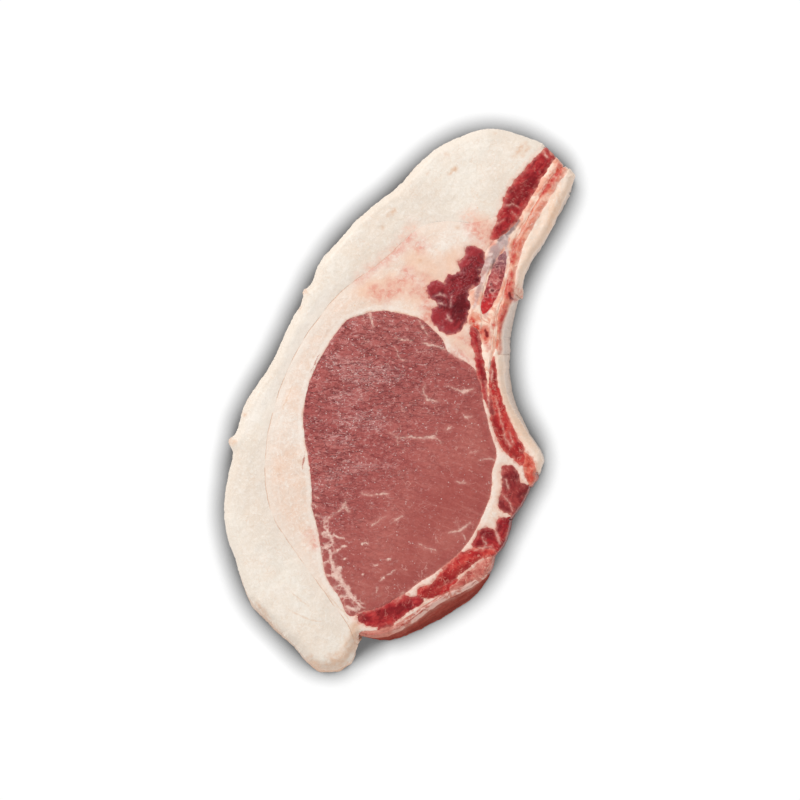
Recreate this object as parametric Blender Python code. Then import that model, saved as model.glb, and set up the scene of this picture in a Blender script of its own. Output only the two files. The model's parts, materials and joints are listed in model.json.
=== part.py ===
"""Raw pork loin chop on the bone, one slice lying flat on its lower cut face.

Seen from above, a comma of white back fat runs down the left side and ends in a blunt tail. A
warmer layer of fat lies inside it and wraps the loin eye. A rib bone with its marrow stands along
the upper right, and small dark muscles fill the space between the eye and the outer edge.

Frame: +Z is up and the lower cut face lies on z = 0. +Y runs from the tail to the top lobe and +X
towards the rib. The origin is the middle of the chop's footprint.

The slice is lofted once between its upper and its lower outline. Each piece is then cut out of it
with an upright prism, so every piece runs through the whole thickness. Plan sizes are in
millimetres and become metres where a mesh is made.
"""

import math

import bmesh
import bpy

MM = 0.001

# Driving dimensions, in millimetres.
THICKNESS = 24.0           # between the two cut faces
SEAM_GAP = 0.3             # clearance between two pieces that touch
EDGE_STEP = 3.4            # spacing of the points along the outer edge
SEAM_STEP = 2.2            # spacing of the points along a piece's own outline
FACE_GRID = 7.3            # spacing of the lines that divide the upper face
FACE_GRID_SHIFT = 1.1      # keeps those lines off the outlines' own points
FACE_GRID_LINES = 14       # lines on each side of the middle
FOOT_ROUND = 1.0           # rounding of the lower edge
FAT_RIM = 3.0              # rounding of the upper edge where it is fat
TAIL_RIM = 2.2             # the same on the tail and where the fat runs out
CUT_RIM = 0.8              # rounding of the upper edge where it was sawn or trimmed
FOOT_PROFILE = ((0.0, 0.7), (0.3, 0.25), (1.0, 0.0))   # height and inset, as shares of FOOT_ROUND
RIM_DEGREES = (0, 35, 65, 90)   # steps round the upper edge
STRIP_END = (0.5, 0.8)     # shares of the half width across and along, at a strip's blunt end
PRISM_OVERSHOOT = 4.0      # how far a cutting prism stands past each cut face
MITRE_LIMIT = 0.4          # lowest value of 1 + cosine at a corner, so that mitres stay short
WELD = 0.00001             # merge distance for meshes, in metres

# The outer edge, counter-clockwise from above, as stretches of (x, y, lean). The lean is how far
# the lower edge stands out past the upper one, so a large lean is a slanting side wall.
OUTER_EDGE = (
    (FAT_RIM, (
        (19, 88, 0.5), (11, 84, 0.5), (4, 77.5, 0.5), (-2.5, 70.5, 0.5), (-9, 65.5, 0.5),
        (-15, 60, 0.5), (-21.5, 52.5, 0.5), (-27, 46, 0.5), (-30, 39.5, 0.5), (-32.5, 37, 0.5),
        (-33.5, 32.5, 0.5), (-36, 27.5, 0.5), (-40, 19, 0.5), (-44.5, 10, 0.5), (-49, 3.5, 0.5),
        (-53, -3.5, 0.5), (-54.5, -10, 0.5), (-57, -14, 0.5), (-56, -18, 0.5), (-57.5, -25, 0.5),
        (-59, -37, 0.5), (-58, -46, 0.7), (-55, -54, 1.0), (-52, -63, 1.5),
    )),
    (TAIL_RIM, (
        (-49, -68.5, 2.7), (-44.5, -72.5, 3.5), (-38.5, -77.5, 4.2), (-33.5, -81.5, 4.7),
        (-29.5, -85.5, 5.8), (-26, -88, 6.2), (-22, -88.5, 5.5), (-18, -87, 4.0),
        (-15.5, -84.5, 1.5), (-14.5, -81, 0.5),
    )),
    (CUT_RIM, (
        (-14.3, -78.6, 0.6), (-11.5, -78.6, 2.6), (-8, -78.2, 4.6), (-2, -76.5, 6.5), (4, -74, 7.0),
        (10, -70.5, 6.9), (16.5, -66.5, 6.3), (23.5, -63, 4.7), (28.5, -59.5, 2.2),
        (30.5, -56.5, 1.5), (31.5, -52.5, 1.5), (34.5, -49, 1.5), (36, -45, 1.5), (37, -40, 1.5),
        (40, -36, 1.5), (43.5, -29.5, 1.5), (46.5, -25, 1.5), (48, -20.5, 1.5), (47, -17.5, 1.5),
        (43.5, -12, 1.5), (40, -5.5, 2.0), (36.5, 1.5, 2.6), (35, 7.5, 3.2), (34.5, 16.5, 3.4),
        (34.5, 24, 4.0), (36, 29, 3.5), (38, 33.5, 2.5), (40.5, 38, 1.5), (41.5, 42, 1.0),
        (44, 47, 1.0), (49.5, 55.5, 1.0), (53, 62.5, 1.0), (58, 71.5, 1.0), (59, 75.5, 1.0),
        (55, 79, 1.0), (51, 83, 1.0), (47, 86.5, 1.0),
    )),
    (TAIL_RIM, (
        (43, 88, 0.8), (35, 90.5, 0.5), (27.5, 91, 0.5),
    )),
)

# Closed outlines, as (x, y).
LOIN_EYE = (
    (-7, 30), (0, 29), (8, 26.5), (11, 23.5), (15, 19), (15.5, 17), (20, 14), (24.5, 11),
    (27, 4.5), (28.5, -3.5), (30.5, -11), (32.3, -19), (31, -23.5), (30.5, -31), (27.5, -39),
    (23, -47.5), (15, -55.5), (6, -61.5), (0, -66), (-7, -70), (-13, -71.2), (-16.5, -72.5),
    (-20.5, -66), (-24.5, -60), (-26.3, -51.5), (-27.5, -44), (-29.3, -37), (-29.7, -29),
    (-30.7, -20), (-32, -13), (-32.4, -4.5), (-30.7, 5), (-26.5, 14.5), (-21.5, 22.5),
    (-17.5, 27), (-13, 28.5),
)
LOBED_MUSCLE = (
    (22.2, 51.3), (25.5, 51.3), (28, 50), (28.4, 47.5), (27, 43.5), (26.6, 39), (23.5, 36.8),
    (22.6, 34.5), (23.3, 31), (22.3, 27), (20.7, 23.6), (17, 22), (13, 23.5), (10.7, 27.5),
    (10.8, 30.4), (12.7, 31.6), (12.2, 33), (9.5, 34), (9, 37), (12.5, 40), (14.8, 39.2),
    (16, 41.8), (18.5, 42), (20, 43.5), (19.5, 46.5), (21.7, 48.5),
)
RIB_BONE = (
    (55, 85), (50, 80), (46.8, 76), (43.5, 71), (40.5, 66.3), (38, 62.2), (35, 58.5), (32.3, 54.5),
    (29.3, 50.8), (28, 47.5), (26.3, 42), (25.4, 37.8), (22.4, 35.2), (21.4, 32), (21.5, 28),
    (22.3, 25.6), (24.8, 24.6), (26.6, 22.3), (27.2, 18), (27.7, 14), (28.6, 9), (29.1, 4),
    (29.6, 0),
    (30.2, 4), (30.4, 9), (31.2, 13.5), (32.8, 18.5), (33.2, 23), (33.4, 28), (34.5, 32.5),
    (35.8, 38.5), (36.6, 44), (37.8, 51), (40.8, 57.5), (44.6, 64.5), (48.6, 71), (52.5, 76.5),
    (57, 81),
)
MARROW = (
    (35.2, 50.2), (33.8, 49), (31.6, 45.5), (30, 42), (28.7, 38), (27.6, 34), (26.9, 30.5),
    (27.6, 28.6), (29, 29.2), (31.3, 32.4), (33.3, 36), (34.6, 40.5), (35.6, 45.5),
)
CHINE_MUSCLE = (
    (34.5, -22.2), (37.5, -22), (39.5, -24.5), (40.4, -28.3), (43, -29), (48, -31), (46, -37),
    (41.5, -40), (38, -39), (35, -37.5), (33.2, -35.5), (33.7, -32.3), (34.6, -29),
    (34.1, -25.5),
)
LOWER_DARK_MUSCLE = (
    (33.7, -39.6), (35.5, -39.8), (40, -41.5), (40, -48), (36, -53), (31.8, -50.3),
    (28.5, -49.1), (25, -49.4), (24, -48.2), (26, -45.8), (26.6, -43.7), (29.5, -43),
    (31.7, -43.8), (32.7, -42.8), (32.8, -41),
)
# Inner edge of the fat and membrane along the rib side, closed again outside the slice.
RIB_SIDE_FAT = (
    (57.5, 82), (54, 76.5), (50.5, 70.5), (47, 64.5), (43.5, 59), (41, 52.7), (39, 46.5),
    (38, 40.5), (37.5, 36), (37.8, 32.5), (46, 32), (60, 50), (68, 72),
)
# The fat below it, down to the corner by the backbone, closed again outside the slice.
CORNER_FAT = (
    (34.5, 21), (32.8, 17.5), (31.8, 13), (32, 7), (34, -2), (36.8, -11), (41, -20), (43.8, -24),
    (47.5, -24.5), (56, -20), (50, 0), (47, 18), (46, 34), (37.5, 34.5), (36, 28),
)
# The warm fat inside the fascia line, closed again outside the slice on the right.
INNER_FAT = (
    (38, 66.5), (34, 63), (30, 60.5), (23.5, 59.5), (15, 60), (8, 58.5), (2.5, 54.5), (-2, 50),
    (-9, 44.5), (-15, 40), (-21.5, 34.5), (-27.5, 27), (-32.5, 20), (-36.5, 12.5),
    (-39.5, 5.5), (-42.5, -3.5), (-44.5, -13), (-45.3, -22.5), (-44.5, -32), (-42.5, -39),
    (-38, -46.5), (-31, -56.5), (-25.5, -64), (-20.5, -71), (-16.8, -76.5), (-13.5, -84),
    (12, -90), (45, -70), (62, -30), (62, 30), (50, 55),
)
# The dark meat that shows down the slanting wall, closed again outside the slice.
SIDE_MUSCLE = (
    (-13.2, -77.8), (-11, -77.2), (-5.5, -76.2), (0, -74.2), (5, -71.9), (10.5, -68.6),
    (16.5, -65), (22.5, -62), (27.5, -58.9), (34, -57), (44, -62), (30, -84), (0, -92),
    (-12.5, -86),
)

# Strips of muscle, as a middle line of (x, y, half width).
RIB_STRIP_MUSCLE = (
    (55, 88, 2.5), (50.5, 83.3, 2.5), (47.5, 79.5, 2.8), (44, 74.8, 3.3), (41, 70.5, 3.8),
    (38.5, 66.3, 3.8), (36.7, 62.3, 3.4), (34.2, 58.3, 2.5), (31.3, 54.6, 1.2),
)
PINK_STRIP = (
    (59.5, 84, 1.4), (54.3, 77.7, 2.0), (50, 71.3, 2.3), (46, 64.8, 2.3), (42.3, 58.3, 2.2),
    (39.6, 51.5, 2.0), (38, 44.5, 1.7), (37.3, 38.5, 1.8), (36, 32, 2.4), (34.5, 26.5, 2.4),
    (34.3, 20.5, 1.8), (34.3, 16, 1.0),
)
RIB_EDGE_MUSCLE = (
    (24.4, 24.2, 1.1), (25.4, 20.2, 1.5), (26.4, 16, 1.4), (26.8, 12, 1.4), (27.8, 7.5, 1.6),
    (28.8, 3, 1.2), (29.9, -1, 0.9), (31, -4.5, 0.6),
)
INTERCOSTAL_MUSCLE = (
    (31.4, 13, 0.8), (31.4, 10, 1.3), (31.5, 6.5, 1.7), (31.9, 3, 2.2), (32.7, -1.5, 2.7),
    (33.7, -5.5, 3.1), (35.2, -10, 3.3), (37.3, -14.3, 3.3), (39.5, -17.8, 2.7),
    (40.5, -20.2, 1.4),
)
CORNER_MUSCLE = (
    (42.7, -19.2, 1.3), (43.7, -22.5, 1.8), (44.2, -26, 1.6), (45.5, -28.5, 1.2),
)
LOWER_STRIP_UPPER = (
    (31.3, -51.2, 0.7), (27.5, -51.3, 1.4), (23.3, -52.7, 2.1), (19.7, -55.6, 2.2),
    (16.2, -58.6, 2.0), (13.1, -61.2, 1.4), (11.8, -62.3, 0.7),
)
LOWER_STRIP_BULB = (
    (7, -64.5, 1.2), (10.3, -64.6, 2.4), (14, -64.0, 1.9), (17.3, -62.3, 1.1), (19, -60.9, 0.6),
)
LOWER_STRIP_OUTER = (
    (30, -53.7, 0.9), (27.8, -56.5, 1.8), (24.3, -59.3, 1.8), (20.7, -61.6, 1.3),
    (17.7, -63.6, 0.7),
)
BOTTOM_STRIP = (
    (-13, -73.4, 0.8), (-9.5, -73.3, 2.0), (-5.5, -72.3, 2.7), (-1.5, -70.4, 2.7),
    (2.7, -68.3, 2.1), (6.8, -67.6, 1.2),
)

# Broad waves of the upper face, as (rise, x length, y length, phase).
FACE_WAVES = ((0.35, 148.0, 230.0, 0.7), (0.22, -97.0, 120.0, 2.1), (0.14, 55.0, -61.0, 4.0))


def clear_scene():
    """Remove the objects of the open scene."""
    for item in list(bpy.data.objects):
        bpy.data.objects.remove(item, do_unlink=True)


def blend_point(before, start, end, after, share):
    """A point between start and end on a smooth curve through all four, at share 0 to 1."""
    near, far, past = (max(math.dist(a[:2], b[:2]), 1e-6) for a, b in
                       ((before, start), (start, end), (end, after)))
    result = []
    for a, b, c, d in zip(before, start, end, after):
        slope_in = ((c - b) / far * near + (b - a) / near * far) / (near + far)
        slope_out = ((d - c) / past * far + (c - b) / far * past) / (far + past)
        cube = share ** 3
        square = share ** 2
        result.append(
            (2 * cube - 3 * square + 1) * b
            + (cube - 2 * square + share) * slope_in * far
            + (3 * square - 2 * cube) * c
            + (cube - square) * slope_out * far
        )
    return tuple(result)


def smooth_loop(points, step):
    """Closed smooth curve through the points, sampled about every step millimetres."""
    count = len(points)
    samples = []
    for index in range(count):
        before, start, end, after = (points[(index + shift) % count] for shift in (-1, 0, 1, 2))
        pieces = max(1, round(math.dist(start[:2], end[:2]) / step))
        for piece in range(pieces):
            samples.append(blend_point(before, start, end, after, piece / pieces))
    return samples


def smooth_line(points, step):
    """Open smooth curve through the points, sampled about every step millimetres."""
    ends = [points[0], *points, points[-1]]
    samples = []
    for index in range(1, len(ends) - 2):
        before, start, end, after = ends[index - 1:index + 3]
        pieces = max(1, round(math.dist(start[:2], end[:2]) / step))
        for piece in range(pieces):
            samples.append(blend_point(before, start, end, after, piece / pieces))
    samples.append(tuple(points[-1]))
    return samples


def normals_of(loop):
    """Outward unit normals of a counter-clockwise loop."""
    count = len(loop)
    found = []
    for index in range(count):
        before = loop[index - 1]
        after = loop[(index + 1) % count]
        across = (after[1] - before[1], before[0] - after[0])
        length = math.hypot(*across)
        found.append((across[0] / length, across[1] / length))
    return found


def counter_clockwise(loop):
    """The loop in counter-clockwise order."""
    area = sum(a[0] * b[1] - b[0] * a[1] for a, b in zip(loop, loop[1:] + loop[:1]))
    return loop if area > 0 else loop[::-1]


def strip_outline(line, step):
    """Closed outline of a strip with rounded ends, from a middle line of (x, y, half width)."""
    middle = smooth_line(line, step)
    headings = []
    for index in range(len(middle)):
        before = middle[max(index - 1, 0)]
        after = middle[min(index + 1, len(middle) - 1)]
        length = math.dist(before[:2], after[:2])
        headings.append(((after[0] - before[0]) / length, (after[1] - before[1]) / length))

    def beside(index, side, forward=0.0):
        (x, y, half), (along_x, along_y) = middle[index], headings[index]
        return (x + half * (forward * along_x - side * along_y),
                y + half * (forward * along_y + side * along_x))

    last = len(middle) - 1
    right = [beside(index, -1.0) for index in range(last + 1)]
    left = [beside(index, 1.0) for index in range(last, -1, -1)]
    across, along = STRIP_END
    far_end = [beside(last, -across, along), beside(last, across, along)]
    near_end = [beside(0, across, -along), beside(0, -across, -along)]
    return counter_clockwise(right + far_end + left + near_end)


def closed_outline(points):
    """Closed outline of a piece, smooth through its points."""
    return counter_clockwise(smooth_loop(points, SEAM_STEP))


def grown(loop, distance):
    """The loop moved outwards by a distance, or inwards if it is negative, with mitred corners."""
    count = len(loop)
    moved = []
    for index in range(count):
        x, y = loop[index]
        sides = []
        for near, far in ((loop[index - 1], (x, y)), ((x, y), loop[(index + 1) % count])):
            length = math.dist(near, far)
            sides.append(((far[1] - near[1]) / length, (near[0] - far[0]) / length))
        (ax, ay), (bx, by) = sides
        stretch = distance / max(1 + ax * bx + ay * by, MITRE_LIMIT)
        moved.append((x + (ax + bx) * stretch, y + (ay + by) * stretch))
    return moved


def new_object(name, mesh, collection):
    """An object for a mesh, in a collection."""
    item = bpy.data.objects.new(name, mesh)
    collection.objects.link(item)
    return item


def edge_samples():
    """The outer edge as samples of (x, y, lean, rim)."""
    points = [(*point, rim) for rim, stretch in OUTER_EDGE for point in stretch]
    return counter_clockwise(smooth_loop(points, EDGE_STEP))


def edge_profile(rim):
    """Heights and insets of the side wall, from the foot up, for one rounding of the rim."""
    foot = [(rise * FOOT_ROUND, inset * FOOT_ROUND) for rise, inset in FOOT_PROFILE]
    arc = []
    for degrees in RIM_DEGREES:
        angle = math.radians(degrees)
        arc.append((THICKNESS - rim * (1 - math.sin(angle)), rim * (1 - math.cos(angle))))
    return foot + arc


def make_slice(collection):
    """The whole slice, lofted from the foot to the rim, with a grid on its upper face."""
    samples = edge_samples()
    outward = normals_of(samples)
    columns = []
    body = bmesh.new()
    for (x, y, lean, rim), (nx, ny) in zip(samples, outward):
        column = []
        for height, inset in edge_profile(rim):
            reach = lean * (1 - height / THICKNESS) - inset
            column.append(body.verts.new(((x + nx * reach) * MM, (y + ny * reach) * MM,
                                          height * MM)))
        columns.append(column)
    count = len(columns)
    for index in range(count):
        near = columns[index]
        far = columns[(index + 1) % count]
        for level in range(len(near) - 1):
            body.faces.new((near[level], far[level], far[level + 1], near[level + 1]))
    body.faces.new([column[0] for column in reversed(columns)])
    body.faces.new([column[-1] for column in columns])
    divide_upper_face(body)
    mesh = bpy.data.meshes.new("slice")
    body.to_mesh(mesh)
    body.free()
    return new_object("slice", mesh, collection)


def divide_upper_face(body):
    """Divide the flat upper face along evenly spaced lines in X and in Y."""
    lines = [index * FACE_GRID + FACE_GRID_SHIFT
             for index in range(-FACE_GRID_LINES, FACE_GRID_LINES)]
    for axis in (0, 1):
        for place in lines:
            body.faces.ensure_lookup_table()
            top = [face for face in body.faces
                   if all(abs(vert.co.z - THICKNESS * MM) < WELD for vert in face.verts)]
            edges = dict.fromkeys(edge for face in top for edge in face.edges)
            verts = dict.fromkeys(vert for face in top for vert in face.verts)
            point = [0.0, 0.0, 0.0]
            normal = [0.0, 0.0, 0.0]
            point[axis] = place * MM
            normal[axis] = 1.0
            bmesh.ops.bisect_plane(body, geom=[*verts, *edges, *top], dist=WELD * 0.1,
                                   plane_co=point, plane_no=normal)


def make_prism(name, outline, growth, collection):
    """An upright prism over an outline, standing past both cut faces."""
    curve = bpy.data.curves.new(name, "CURVE")
    curve.dimensions = "2D"
    curve.fill_mode = "BOTH"
    curve.extrude = (THICKNESS / 2 + PRISM_OVERSHOOT) * MM
    loop = grown(outline, growth)
    spline = curve.splines.new("POLY")
    spline.points.add(len(loop) - 1)
    for point, (x, y) in zip(spline.points, loop):
        point.co = (x * MM, y * MM, 0.0, 1.0)
    spline.use_cyclic_u = True
    shape = new_object(name, curve, collection)
    shape.location.z = THICKNESS / 2 * MM
    bpy.context.view_layer.update()
    evaluated = shape.evaluated_get(bpy.context.evaluated_depsgraph_get())
    mesh = bpy.data.meshes.new_from_object(evaluated)
    mesh.transform(shape.matrix_world)
    bpy.data.objects.remove(shape, do_unlink=True)
    body = bmesh.new()
    body.from_mesh(mesh)
    bmesh.ops.remove_doubles(body, verts=body.verts, dist=WELD)
    bmesh.ops.recalc_face_normals(body, faces=body.faces)
    body.to_mesh(mesh)
    body.free()
    prism = new_object(name, mesh, collection)
    prism.display_type = "WIRE"
    prism.hide_render = True
    return prism


def cut_piece(name, blank, keep, remove, collection):
    """A copy of the slice kept inside one prism and outside others, as a finished mesh."""
    piece = new_object(name, blank.data.copy(), collection)
    if keep:
        add_boolean(piece, "INTERSECT", keep)
    for cutter in remove:
        add_boolean(piece, "DIFFERENCE", cutter)
    bpy.context.view_layer.update()
    evaluated = piece.evaluated_get(bpy.context.evaluated_depsgraph_get())
    mesh = bpy.data.meshes.new_from_object(evaluated)
    piece.modifiers.clear()
    piece.data = mesh
    keep_largest_body(mesh)
    return piece


def add_boolean(piece, operation, cutter):
    """Add an exact Boolean with a cutter."""
    modifier = piece.modifiers.new(operation.lower(), "BOOLEAN")
    modifier.operation = operation
    modifier.object = cutter
    modifier.solver = "EXACT"


def keep_largest_body(mesh):
    """Drop loose crumbs that a cut leaves beside a piece, and triangulate it."""
    body = bmesh.new()
    body.from_mesh(mesh)
    bmesh.ops.remove_doubles(body, verts=body.verts, dist=WELD)
    bmesh.ops.dissolve_degenerate(body, dist=WELD, edges=body.edges)
    groups = []
    unseen = dict.fromkeys(body.verts)
    while unseen:
        group = [next(iter(unseen))]
        del unseen[group[0]]
        for reached in group:
            for edge in reached.link_edges:
                for vert in edge.verts:
                    if vert in unseen:
                        del unseen[vert]
                        group.append(vert)
        groups.append(group)
    largest = max(groups, key=len)
    crumbs = [vert for group in groups if group is not largest for vert in group]
    bmesh.ops.delete(body, geom=crumbs, context="VERTS")
    bmesh.ops.triangulate(body, faces=body.faces)
    body.to_mesh(mesh)
    body.free()


def face_wave(x, y):
    """Height of the broad waves of the upper face over a plan point, in millimetres."""
    return sum(rise * math.sin(2 * math.pi * (x / across + y / along) + phase)
               for rise, across, along, phase in FACE_WAVES)


def shape_upper_face(mesh, crown, reach):
    """Raise the upper face into broad waves, with a crown that falls to the piece's outline."""
    body = bmesh.new()
    body.from_mesh(mesh)
    top = THICKNESS * MM - WELD
    upper = [vert for vert in body.verts if vert.co.z > top]
    border = [vert for vert in upper
              if any(other.co.z <= top for edge in vert.link_edges for other in edge.verts)]
    rims = [(vert.co.x / MM, vert.co.y / MM) for vert in border]
    rises = []
    for vert in upper:
        x, y = vert.co.x / MM, vert.co.y / MM
        inset = min((math.dist((x, y), rim) for rim in rims), default=0.0)
        slope = 1 - min(inset / reach, 1.0)
        rises.append(face_wave(x, y) + crown * (1 - slope * slope))
    for vert, rise in zip(upper, rises):
        vert.co.z += rise * MM
    body.to_mesh(mesh)
    body.free()


def make_material(name, color, roughness):
    """A plain Principled material."""
    material = bpy.data.materials.new(name)
    material.use_nodes = True
    shader = material.node_tree.nodes["Principled BSDF"]
    shader.inputs["Base Color"].default_value = (*color, 1.0)
    shader.inputs["Roughness"].default_value = roughness
    shader.inputs["Metallic"].default_value = 0.0
    return material


# Linear colours of the tissues, with their roughness.
WHITE_FAT = ((0.80, 0.70, 0.60), 0.45)
WARM_FAT = ((0.79, 0.65, 0.55), 0.42)
EYE_MEAT = ((0.40, 0.13, 0.12), 0.38)
DARK_MEAT = ((0.22, 0.04, 0.04), 0.35)
RED_MEAT = ((0.40, 0.07, 0.06), 0.36)
PINK_MEAT = ((0.72, 0.33, 0.26), 0.40)
BONE = ((0.62, 0.48, 0.44), 0.40)
MARROW_RED = ((0.48, 0.10, 0.09), 0.40)
BROWN_MEAT = ((0.32, 0.09, 0.07), 0.45)

# Every piece in cutting order, as (name, outline, tissue, crown, pieces cut before it that it meets).
# A piece gives way to the pieces named after it, so a shared seam is drawn only once.
PIECES = (
    ("loin_eye", closed_outline(LOIN_EYE), EYE_MEAT, 0.7, ()),
    ("lobed_muscle", closed_outline(LOBED_MUSCLE), DARK_MEAT, 0.5, ()),
    ("rib_strip_muscle", strip_outline(RIB_STRIP_MUSCLE, SEAM_STEP), DARK_MEAT, 0.5, ()),
    ("rib_marrow", closed_outline(MARROW), MARROW_RED, 0.2, ()),
    ("rib_bone", closed_outline(RIB_BONE), BONE, 0.3,
     ("rib_marrow", "rib_strip_muscle", "lobed_muscle")),
    ("rib_edge_muscle", strip_outline(RIB_EDGE_MUSCLE, SEAM_STEP), DARK_MEAT, 0.3,
     ("rib_bone", "lobed_muscle", "loin_eye")),
    ("intercostal_muscle", strip_outline(INTERCOSTAL_MUSCLE, SEAM_STEP), RED_MEAT, 0.4,
     ("rib_bone", "rib_edge_muscle")),
    ("pink_strip", strip_outline(PINK_STRIP, SEAM_STEP), PINK_MEAT, 0.2,
     ("rib_bone", "rib_strip_muscle", "intercostal_muscle")),
    ("corner_muscle", strip_outline(CORNER_MUSCLE, SEAM_STEP), RED_MEAT, 0.2,
     ("intercostal_muscle",)),
    ("rib_side_fat", closed_outline(RIB_SIDE_FAT), WHITE_FAT, 0.4, ("pink_strip", "rib_bone")),
    ("corner_fat", closed_outline(CORNER_FAT), WHITE_FAT, 0.3,
     ("intercostal_muscle", "pink_strip", "rib_side_fat", "rib_bone", "corner_muscle")),
    ("chine_muscle", closed_outline(CHINE_MUSCLE), RED_MEAT, 0.4, ("corner_muscle",)),
    ("lower_dark_muscle", closed_outline(LOWER_DARK_MUSCLE), DARK_MEAT, 0.4,
     ("chine_muscle", "loin_eye")),
    ("lower_strip_upper", strip_outline(LOWER_STRIP_UPPER, SEAM_STEP), RED_MEAT, 0.3,
     ("lower_dark_muscle", "loin_eye")),
    ("side_muscle", closed_outline(SIDE_MUSCLE), BROWN_MEAT, 0.1, ()),
    ("lower_strip_outer", strip_outline(LOWER_STRIP_OUTER, SEAM_STEP), RED_MEAT, 0.3,
     ("lower_strip_upper", "side_muscle", "lower_dark_muscle")),
    ("lower_strip_bulb", strip_outline(LOWER_STRIP_BULB, SEAM_STEP), DARK_MEAT, 0.3,
     ("lower_strip_upper", "lower_strip_outer", "side_muscle", "loin_eye")),
    ("bottom_strip", strip_outline(BOTTOM_STRIP, SEAM_STEP), DARK_MEAT, 0.4,
     ("side_muscle", "loin_eye", "lower_strip_bulb")),
)
CROWN_REACH = 7.0          # how far in from its outline a piece's crown reaches its full height
FAT_CROWN = 0.5


def centre_on_origin(pieces):
    """Move every piece so that the footprint's middle is at the origin."""
    corners = [[side([vert.co[axis] for piece in pieces for vert in piece.data.vertices])
                for side in (min, max)] for axis in (0, 1)]
    shift = [-(low + high) / 2 for low, high in corners]
    for piece in pieces:
        for vert in piece.data.vertices:
            vert.co.x += shift[0]
            vert.co.y += shift[1]


def make_chop():
    """Cut the slice into its pieces and finish each one."""
    clear_scene()
    parts = bpy.data.collections.new("raw_pork_chop")
    cutters = bpy.data.collections.new("cutters")
    for collection in (parts, cutters):
        bpy.context.scene.collection.children.link(collection)

    blank = make_slice(cutters)
    holes = {}
    finished = []
    for name, outline, (color, roughness), crown, neighbours in PIECES:
        keep = make_prism(f"cut_{name}", outline, -SEAM_GAP / 2, cutters)
        holes[name] = make_prism(f"hole_{name}", outline, SEAM_GAP / 2, cutters)
        piece = cut_piece(name, blank, keep, [holes[other] for other in neighbours], parts)
        shape_upper_face(piece.data, crown, CROWN_REACH)
        piece.data.materials.clear()
        piece.data.materials.append(make_material(name, color, roughness))
        finished.append(piece)

    fascia = closed_outline(INNER_FAT)
    inside = make_prism("cut_inner_fat", fascia, -SEAM_GAP / 2, cutters)
    holes["inner_fat"] = make_prism("hole_inner_fat", fascia, SEAM_GAP / 2, cutters)
    fats = (
        ("inner_fat", inside, [holes[name] for name, *_ in PIECES if name != "rib_marrow"],
         WARM_FAT),
        ("outer_fat", None, [holes[name] for name in
                             ("inner_fat", "rib_strip_muscle", "rib_bone", "side_muscle")],
         WHITE_FAT),
    )
    for name, keep, remove, (color, roughness) in fats:
        piece = cut_piece(name, blank, keep, remove, parts)
        shape_upper_face(piece.data, FAT_CROWN, CROWN_REACH)
        piece.data.materials.clear()
        piece.data.materials.append(make_material(name, color, roughness))
        finished.append(piece)

    centre_on_origin(finished)
    blank.display_type = "WIRE"
    blank.hide_render = True


make_chop()
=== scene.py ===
"""Looks of the raw pork chop: every tissue of the slice as a closed, finely modelled body.

The pieces share one fine mesh in plan. It is taken from level sections of the CAD nodes, divided
where one tissue meets the next, and then raised, rounded at the rim and carried down the side
walls to the underside, so that neighbours meet without a gap. Plan places and sizes are in
millimetres and become metres where a mesh is made.
"""

import json
import math

import bpy
import numpy as np
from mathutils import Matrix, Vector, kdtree
from mathutils import noise
from mathutils.bvhtree import BVHTree


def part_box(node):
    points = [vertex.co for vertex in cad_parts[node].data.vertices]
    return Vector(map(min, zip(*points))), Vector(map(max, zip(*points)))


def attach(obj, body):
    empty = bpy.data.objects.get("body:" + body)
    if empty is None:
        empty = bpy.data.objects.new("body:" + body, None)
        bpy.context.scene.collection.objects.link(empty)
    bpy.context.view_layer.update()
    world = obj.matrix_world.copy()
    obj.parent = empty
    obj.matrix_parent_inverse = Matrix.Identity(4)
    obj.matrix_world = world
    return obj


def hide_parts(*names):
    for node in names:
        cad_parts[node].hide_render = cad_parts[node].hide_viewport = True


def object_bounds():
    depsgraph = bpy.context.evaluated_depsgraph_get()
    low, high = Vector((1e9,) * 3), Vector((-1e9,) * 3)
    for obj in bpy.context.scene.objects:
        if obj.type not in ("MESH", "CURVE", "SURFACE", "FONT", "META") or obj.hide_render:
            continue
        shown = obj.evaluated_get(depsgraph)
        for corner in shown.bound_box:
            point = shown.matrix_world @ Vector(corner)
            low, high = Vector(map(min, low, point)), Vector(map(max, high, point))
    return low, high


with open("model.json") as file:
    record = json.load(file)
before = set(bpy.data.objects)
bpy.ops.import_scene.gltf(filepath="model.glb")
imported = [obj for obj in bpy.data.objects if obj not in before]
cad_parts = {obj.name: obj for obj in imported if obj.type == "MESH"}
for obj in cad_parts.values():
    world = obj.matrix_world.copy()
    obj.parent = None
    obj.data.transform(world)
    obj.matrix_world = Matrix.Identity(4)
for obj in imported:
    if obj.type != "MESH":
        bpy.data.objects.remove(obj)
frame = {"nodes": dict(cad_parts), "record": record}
CAD_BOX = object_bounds()

MM = 0.001

# Sizes of the mesh and of the slice, in millimetres.
GRID = 0.4                 # spacing of the fine mesh
MARGIN = 2.0               # how far the mesh's grid stands past the slice
THICKNESS = 24.0           # between the two cut faces
HIGH_LEVEL = 20.95         # level of the section that gives the tissues' outlines
FOOT_LEVEL = 1.0           # level of the CAD's lowest full outline
TISSUE_GAP = 0.34          # widest clearance between CAD nodes that the mesh closes
REACH = 6.0                # how far from a node its distance is worked out
FAR = 9.0                  # distance given to points beyond that
TAIL_START = 66.0          # how far below the origin the tail's soft end begins
TAIL_RUN = 14.0            # length over which it comes in
EDGE_BAND = 1.6            # how far inside the outer edge its raggedness can reach
EDGE_TRIM = 0.25           # how far the outer edge is drawn in everywhere
TANGENT_STEP = 5           # points each way that give the edge its direction
OUTWARD_SPAN = 6           # points each way over which the way out is evened
RIM_SPAN = 14              # and the rim
SLANT_SPAN = 10            # and the slant
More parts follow.
